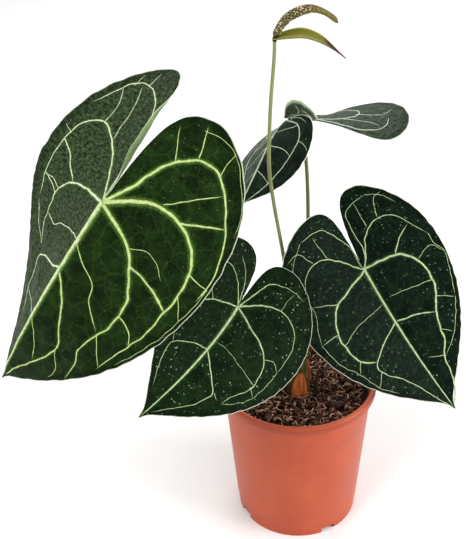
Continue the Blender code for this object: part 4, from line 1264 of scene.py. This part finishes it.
def make_mix():
    """The mix: a heaped lumpy top, its side just inside the wall, and its under side."""
    def lumps(rings):
        """Lumps on the top only: soft noise at three sizes."""
        radius = np.hypot(rings[..., 0], rings[..., 1])
        top = ramp(rings[..., 2], MIX_TOP - MIX_CROWN - 0.003, MIX_TOP - MIX_CROWN - 0.0005)
        flat = rings.reshape(-1, 3)
        rough = (0.0016 * ripple(flat, 0.016, 31) + 0.0011 * ripple(flat, 0.006, 32, 14)
                 + 0.0007 * ripple(flat, 0.0028, 33, 18)).reshape(radius.shape)
        rings[..., 2] += rough * top * ramp(MIX_RADIUS + 0.0006 - radius, 0.0, 0.002)
        return rings

    radii = np.linspace(0, MIX_RADIUS, MIX_RINGS)
    profile = [(r, float(mix_height(r))) for r in radii]
    bottom_radius = POT_FOOT_RADIUS + WALL_SLOPE * MIX_BOTTOM - MIX_WALL
    profile += [(MIX_RADIUS - 0.0002, MIX_TOP - MIX_CROWN - 0.004), (bottom_radius, MIX_BOTTOM),
                (POT_PAD_RADIUS - 2 * CLEAR, MIX_BOTTOM),
                (POT_PAD_RADIUS - POT_WALL - 2 * CLEAR, POT_WALL + CLEAR), (0.0, POT_WALL + CLEAR)]
    mat = mix_paint("moist mix", srgb(10, 7, 6), srgb(44, 28, 22), srgb(74, 46, 36))
    places, faces = revolve(profile[::-1], MIX_STEPS, lumps)
    show(put_mesh("moist_mix", places, faces, (mat,)), "potting_mix", "potting_mix")


def spread_on_mix(random, count, inner=0.012, outer=None):
    """Random places on the mix, even over its area."""
    outer = outer or MIX_RADIUS - 0.002
    radius = np.sqrt(random.uniform(inner ** 2, outer ** 2, count))
    turn = random.uniform(0, math.tau, count)
    return np.stack([radius * np.sin(turn), -radius * np.cos(turn), mix_height(radius)], axis=1)


def make_crumbs():
    """Loose crumbs on the mix: small rough balls, and chips of bark."""
    random = np.random.default_rng(7)
    shape, faces = ball(7, 5)
    shape = shape * (1 + 0.35 * ripple(shape, 1.4, 12))[:, None]
    places = spread_on_mix(random, CRUMB_COUNT)
    sizes = random.uniform(0.0006, 0.0019, (CRUMB_COUNT, 3)) * [1.25, 1.0, 0.7]
    places[:, 2] += sizes[:, 2] * 0.6 + 0.0006
    some, sides = copies(shape, faces, places, random_turns(random, CRUMB_COUNT, 0.7), sizes)
    mat = mix_paint("dark crumbs", srgb(28, 18, 15), srgb(74, 46, 36), srgb(58, 38, 30))
    show(put_mesh("mix_crumbs", some, sides, (mat,)), "potting_mix")


def make_fibres():
    """Curled coir fibres on the mix: each a thin tube along a random quadratic arc."""
    random = np.random.default_rng(11)
    pale = (srgb(148, 98, 78), srgb(222, 176, 150), srgb(96, 56, 42))
    dark = (srgb(74, 44, 34), srgb(120, 78, 62), srgb(36, 22, 18))
    for title, count, thick, tones in (("pale_fibres", 520, 0.00044, pale),
                                       ("dark_fibres", 560, 0.00048, dark)):
        steps, around = FIBRE_STEPS, FIBRE_SIDES
        foot = spread_on_mix(random, count, 0.010, MIX_RADIUS - 0.004)
        t = np.linspace(-0.5, 0.5, steps)
        length = random.uniform(0.003, 0.009, count)
        heading = random.uniform(0, math.tau, count)
        bow = random.uniform(-2.6, 2.6, count)
        rise = random.uniform(0.0, 0.35, count)
        angle = heading[:, None] + bow[:, None] * t
        x = np.cumsum(np.cos(angle), axis=1) * (length / steps)[:, None]
        y = np.cumsum(np.sin(angle), axis=1) * (length / steps)[:, None]
        x, y = x - x.mean(1, keepdims=True), y - y.mean(1, keepdims=True)
        z = (rise * length)[:, None] * (0.5 - 2 * t ** 2) + 0.0012
        line = foot[:, None] + np.stack([x, y, z + random.uniform(0, 0.0018, (count, 1))], axis=-1)
        tangent = np.gradient(line, axis=1)
        tangent /= np.linalg.norm(tangent, axis=-1, keepdims=True)
        side = np.cross(tangent, [0, 0, 1.0])
        side /= np.linalg.norm(side, axis=-1, keepdims=True)
        normal = np.cross(side, tangent)
        spin = np.arange(around) / around * math.tau
        wide = thick * random.uniform(0.6, 1.7, (count, 1)) * (1.05 - (2 * t) ** 4)
        flatten = random.uniform(0.4, 1.0, (count, 1, 1, 1))
        aside = np.cos(spin)[:, None] * side[:, :, None]
        raised = flatten * np.sin(spin)[:, None] * normal[:, :, None]
        ring = line[:, :, None] + wide[:, :, None, None] * (aside + raised)
        one = wrap(steps, around)
        last = (steps - 1) * around + np.arange(around)
        caps = np.array([np.arange(around)[::-1], last])
        quads = np.vstack([one, caps])
        faces = (quads[None] + (np.arange(count) * steps * around)[:, None, None]).reshape(-1, 4)
        mat = mix_paint(title, *tones)
        show(put_mesh(title, ring.reshape(-1, 3), [faces], (mat,)), "potting_mix")


def make_bark():
    """The larger chips of bark: squashed angular balls, each in its own place."""
    mat = mix_paint("bark", srgb(40, 26, 20), srgb(88, 58, 44), srgb(64, 42, 32))
    for number, (share, bearing, length, width, height, turn) in enumerate(BARK, 1):
        places, faces = ball(14, 9)
        cube = np.sign(places) * np.abs(places) ** 0.72
        cube = cube * (1 + 0.16 * ripple(places, 1.1, 40 + number))[:, None]
        cube = cube * np.array([length, width, height]) / 2 * 0.92
        spin, out = math.radians(turn), share * MIX_RADIUS
        turned = np.array([[math.cos(spin), -math.sin(spin), 0],
                           [math.sin(spin), math.cos(spin), 0], [0, 0, 1]])
        rest = float(mix_height(out - length / 2)) + height / 2 + CLEAR
        centre = out * outward(bearing) + [0.0, 0.0, rest]
        show(put_mesh(f"bark_piece_{number}", cube @ turned.T + centre, faces, (mat,), sharp=50),
             "bark", f"bark_chip_{number}")


# --- crown --------------------------------------------------------------------------------------
def make_crown():
    """The short stem: a turned lump with rough lengthwise ridges."""
    foot = MIX_TOP + CLEAR - 0.002
    top = MIX_TOP + CLEAR + CROWN_HEIGHT
    profile = [(0.0, top), (CROWN_RADIUS * 0.5, top), (CROWN_RADIUS * 0.86, top - 0.0004),
               (CROWN_RADIUS * 0.95, top - 0.002)]
    profile += [(CROWN_RADIUS * (1 - 0.06 * (1 - s)), top - 0.002 - s * (top - 0.004 - foot))
                for s in np.linspace(0.05, 1, 24)]
    profile += [(CROWN_RADIUS * 0.9, foot), (0.0, foot)]

    def ridges(rings):
        """Radius times one plus ridges round the axis and soft lumps."""
        turn = np.arctan2(rings[..., 1], rings[..., 0])
        lump = ripple(rings.reshape(-1, 3), 0.004, 51, 14).reshape(turn.shape)
        factor = 1 + 0.03 * np.sin(17 * turn + 300 * rings[..., 2]) + 0.05 * lump
        rings[..., :2] *= np.minimum(factor, 1.06)[..., None]
        return rings

    paint = Paint("crown", 0.7, Specular_IOR_Level=0.3)
    where = paint.where()
    strands = paint.noise(where, 260.0, 4.0, 0.65, (1.0, 1.0, 0.15))
    patches = paint.noise(where, 110.0, 3.0)
    base = paint.tint(srgb(74, 44, 26), srgb(150, 100, 54), strands, 0.35, 0.7)
    base = paint.tint(base, srgb(104, 104, 50), patches, 0.5, 0.7, 0.0, 0.6)
    paint.colour(base)
    paint.bump(strands, 0.6, 0.0008)
    places, faces = revolve(profile[::-1], CROWN_STEPS, ridges)
    show(put_mesh("crown", places, faces, (paint.mat,)), "crown", "crown_stem")


def make_cataphylls():
    """Dry sheaths: strips of a leaning cone that narrow upwards, with torn tops and creases."""
    paint = Paint("dry sheath", 0.6, Specular_IOR_Level=0.3)
    where = paint.where()
    strands = paint.noise(where, 420.0, 4.0, 0.65, (1.0, 1.0, 0.08))
    patches = paint.noise(where, 120.0, 3.0)
    base = paint.tint(srgb(232, 140, 74), srgb(176, 86, 38), strands, 0.35, 0.7)
    base = paint.tint(base, srgb(246, 204, 146), patches, 0.55, 0.75, 0.0, 0.6)
    paint.colour(base)
    paint.bump(strands, 0.6, 0.0006)
    for number, sheath in enumerate(CATAPHYLLS, 1):
        up, across = sheet_grid(*SHEATH_GRID, 0.5)
        side = across * (1 - 0.8 * up ** 2)
        torn = 1 - 0.10 * up * (0.5 + 0.5 * np.sin(across * 31 + number)) * up ** 3
        turn = np.radians(sheath["bearing"] + sheath["spread"] * side)
        crease = 0.00030 * np.sin(across * 40 + 3 * np.sin(up * 5)) * (0.3 + up)
        radius = CROWN_RADIUS + CLEAR + 0.0010 + sheath["height"] * sheath["lean"] * up + crease
        height = MIX_TOP + 2 * CLEAR - 0.0015 * (1 - up) + sheath["height"] * up * torn

        def face(offset):
            """The strip at a distance outwards from its middle."""
            reach = radius + offset
            return np.stack([reach * np.sin(turn), -reach * np.cos(turn), height], axis=1)

        places = np.vstack([face(0.00025), face(-0.00025)])
        faces = [part[:, ::-1] for part in sheet_faces(*SHEATH_GRID)]
        show(put_mesh(f"dry_sheath_{number}", places, faces, (paint.mat,)),
             "dry_sheath", f"cataphyll_{number}")


def make_root():
    """A dark aerial root beside the crown, knobbly and tapering."""
    reach = CROWN_RADIUS + 0.0006 + 0.0052
    out = outward(ROOT_BEARING)
    foot = out * reach + np.array([0.0, 0.0, float(mix_height(reach - 0.002)) + CLEAR])
    way = [foot - [0, 0, 0.002], foot, foot + [0.0, 0.0, 0.008],
           foot + out * 0.001 + [0.0, 0.0, 0.016], foot + out * 0.0025 + [0.0, 0.0, 0.023]]
    line = smooth_line(way, ROOT_POINTS)
    share = np.linspace(0, 1, ROOT_POINTS)
    around = np.arange(ROOT_SIDES) / ROOT_SIDES * math.tau
    radius = 0.0019 * (1.0 - 0.45 * share) * np.sqrt(np.clip((1.0 - share) / 0.05, 0.02, 1))
    radius = radius[:, None] * (1 + 0.06 * np.sin(3 * around + 22 * share[:, None])
                                + 0.05 * np.sin(60 * share)[:, None])
    places, faces = tube_mesh(line, radius, ROOT_SIDES)
    mat = mix_paint("root", srgb(40, 28, 22), srgb(74, 54, 40), srgb(96, 72, 52))
    show(put_mesh("dark_root", places, faces, (mat,)), "root", "aerial_root")


# --- studio -------------------------------------------------------------------------------------
def make_floor():
    """A wide pale floor."""
    places = FLOOR_HALF_WIDTH * np.array([[-1, -1, 0], [1, -1, 0], [1, 1, 0], [-1, 1, 0]])
    paint = Paint("pale floor", 0.8, Specular_IOR_Level=0.1)
    paint.shader.inputs["Base Color"].default_value = (0.90, 0.90, 0.90, 1.0)
    put_mesh("floor", places, [np.array([[0, 1, 2, 3]])], (paint.mat,))


def make_light(name, place, target, size, power):
    """A square soft light that faces a point."""
    data = bpy.data.lights.new(name, "AREA")
    data.shape, data.size, data.energy = "SQUARE", size, power
    light = add(name, data)
    light.location = place
    light.rotation_euler = (Vector(target) - Vector(place)).to_track_quat("-Z", "Y").to_euler()


def make_studio():
    """Even pale surroundings, a soft key from the upper left and a fill from the right."""
    scene = bpy.context.scene
    world = bpy.data.worlds.new("studio")
    world.use_nodes = True
    world.node_tree.nodes["Background"].inputs["Color"].default_value = (1.0, 1.0, 1.0, 1.0)
    world.node_tree.nodes["Background"].inputs["Strength"].default_value = 0.70
    scene.world = world
    scene.view_settings.view_transform = "Standard"
    make_light("key", (-1.1, -1.0, 1.7), (0, 0, 0.2), 1.2, 26)
    make_light("fill", (1.6, -0.5, 0.8), (0, 0, 0.12), 0.9, 24)
    make_light("rear", (0.3, 1.6, 1.4), (0, 0, 0.2), 1.2, 12)


def make_camera():
    """The camera: in front, above the plant, looking down at it."""
    yaw, pitch, roll = math.radians(-3.14), math.radians(-30.78), math.radians(-2.07)
    ahead = Vector((math.sin(yaw) * math.cos(pitch), math.cos(yaw) * math.cos(pitch),
                    math.sin(pitch)))
    level = Vector((math.cos(yaw), -math.sin(yaw), 0.0))
    raised = level.cross(ahead)
    right = math.cos(roll) * level + math.sin(roll) * raised
    up = -math.sin(roll) * level + math.cos(roll) * raised
    data = bpy.data.cameras.new("camera")
    data.sensor_width = 36.0
    data.lens = 60.1
    data.clip_start = 0.01
    camera = add("camera", data)
    turn = Matrix((right, up, -ahead)).transposed()
    camera.matrix_world = Matrix.Translation((-0.016, -0.547, 0.542)) @ turn.to_4x4()
    bpy.context.scene.camera = camera


make_floor()
make_studio()
make_camera()
make_pot()
make_mix()
make_crumbs()
make_fibres()
make_bark()
make_crown()
make_cataphylls()
make_root()
make_petioles()
make_leaves()
make_flower()
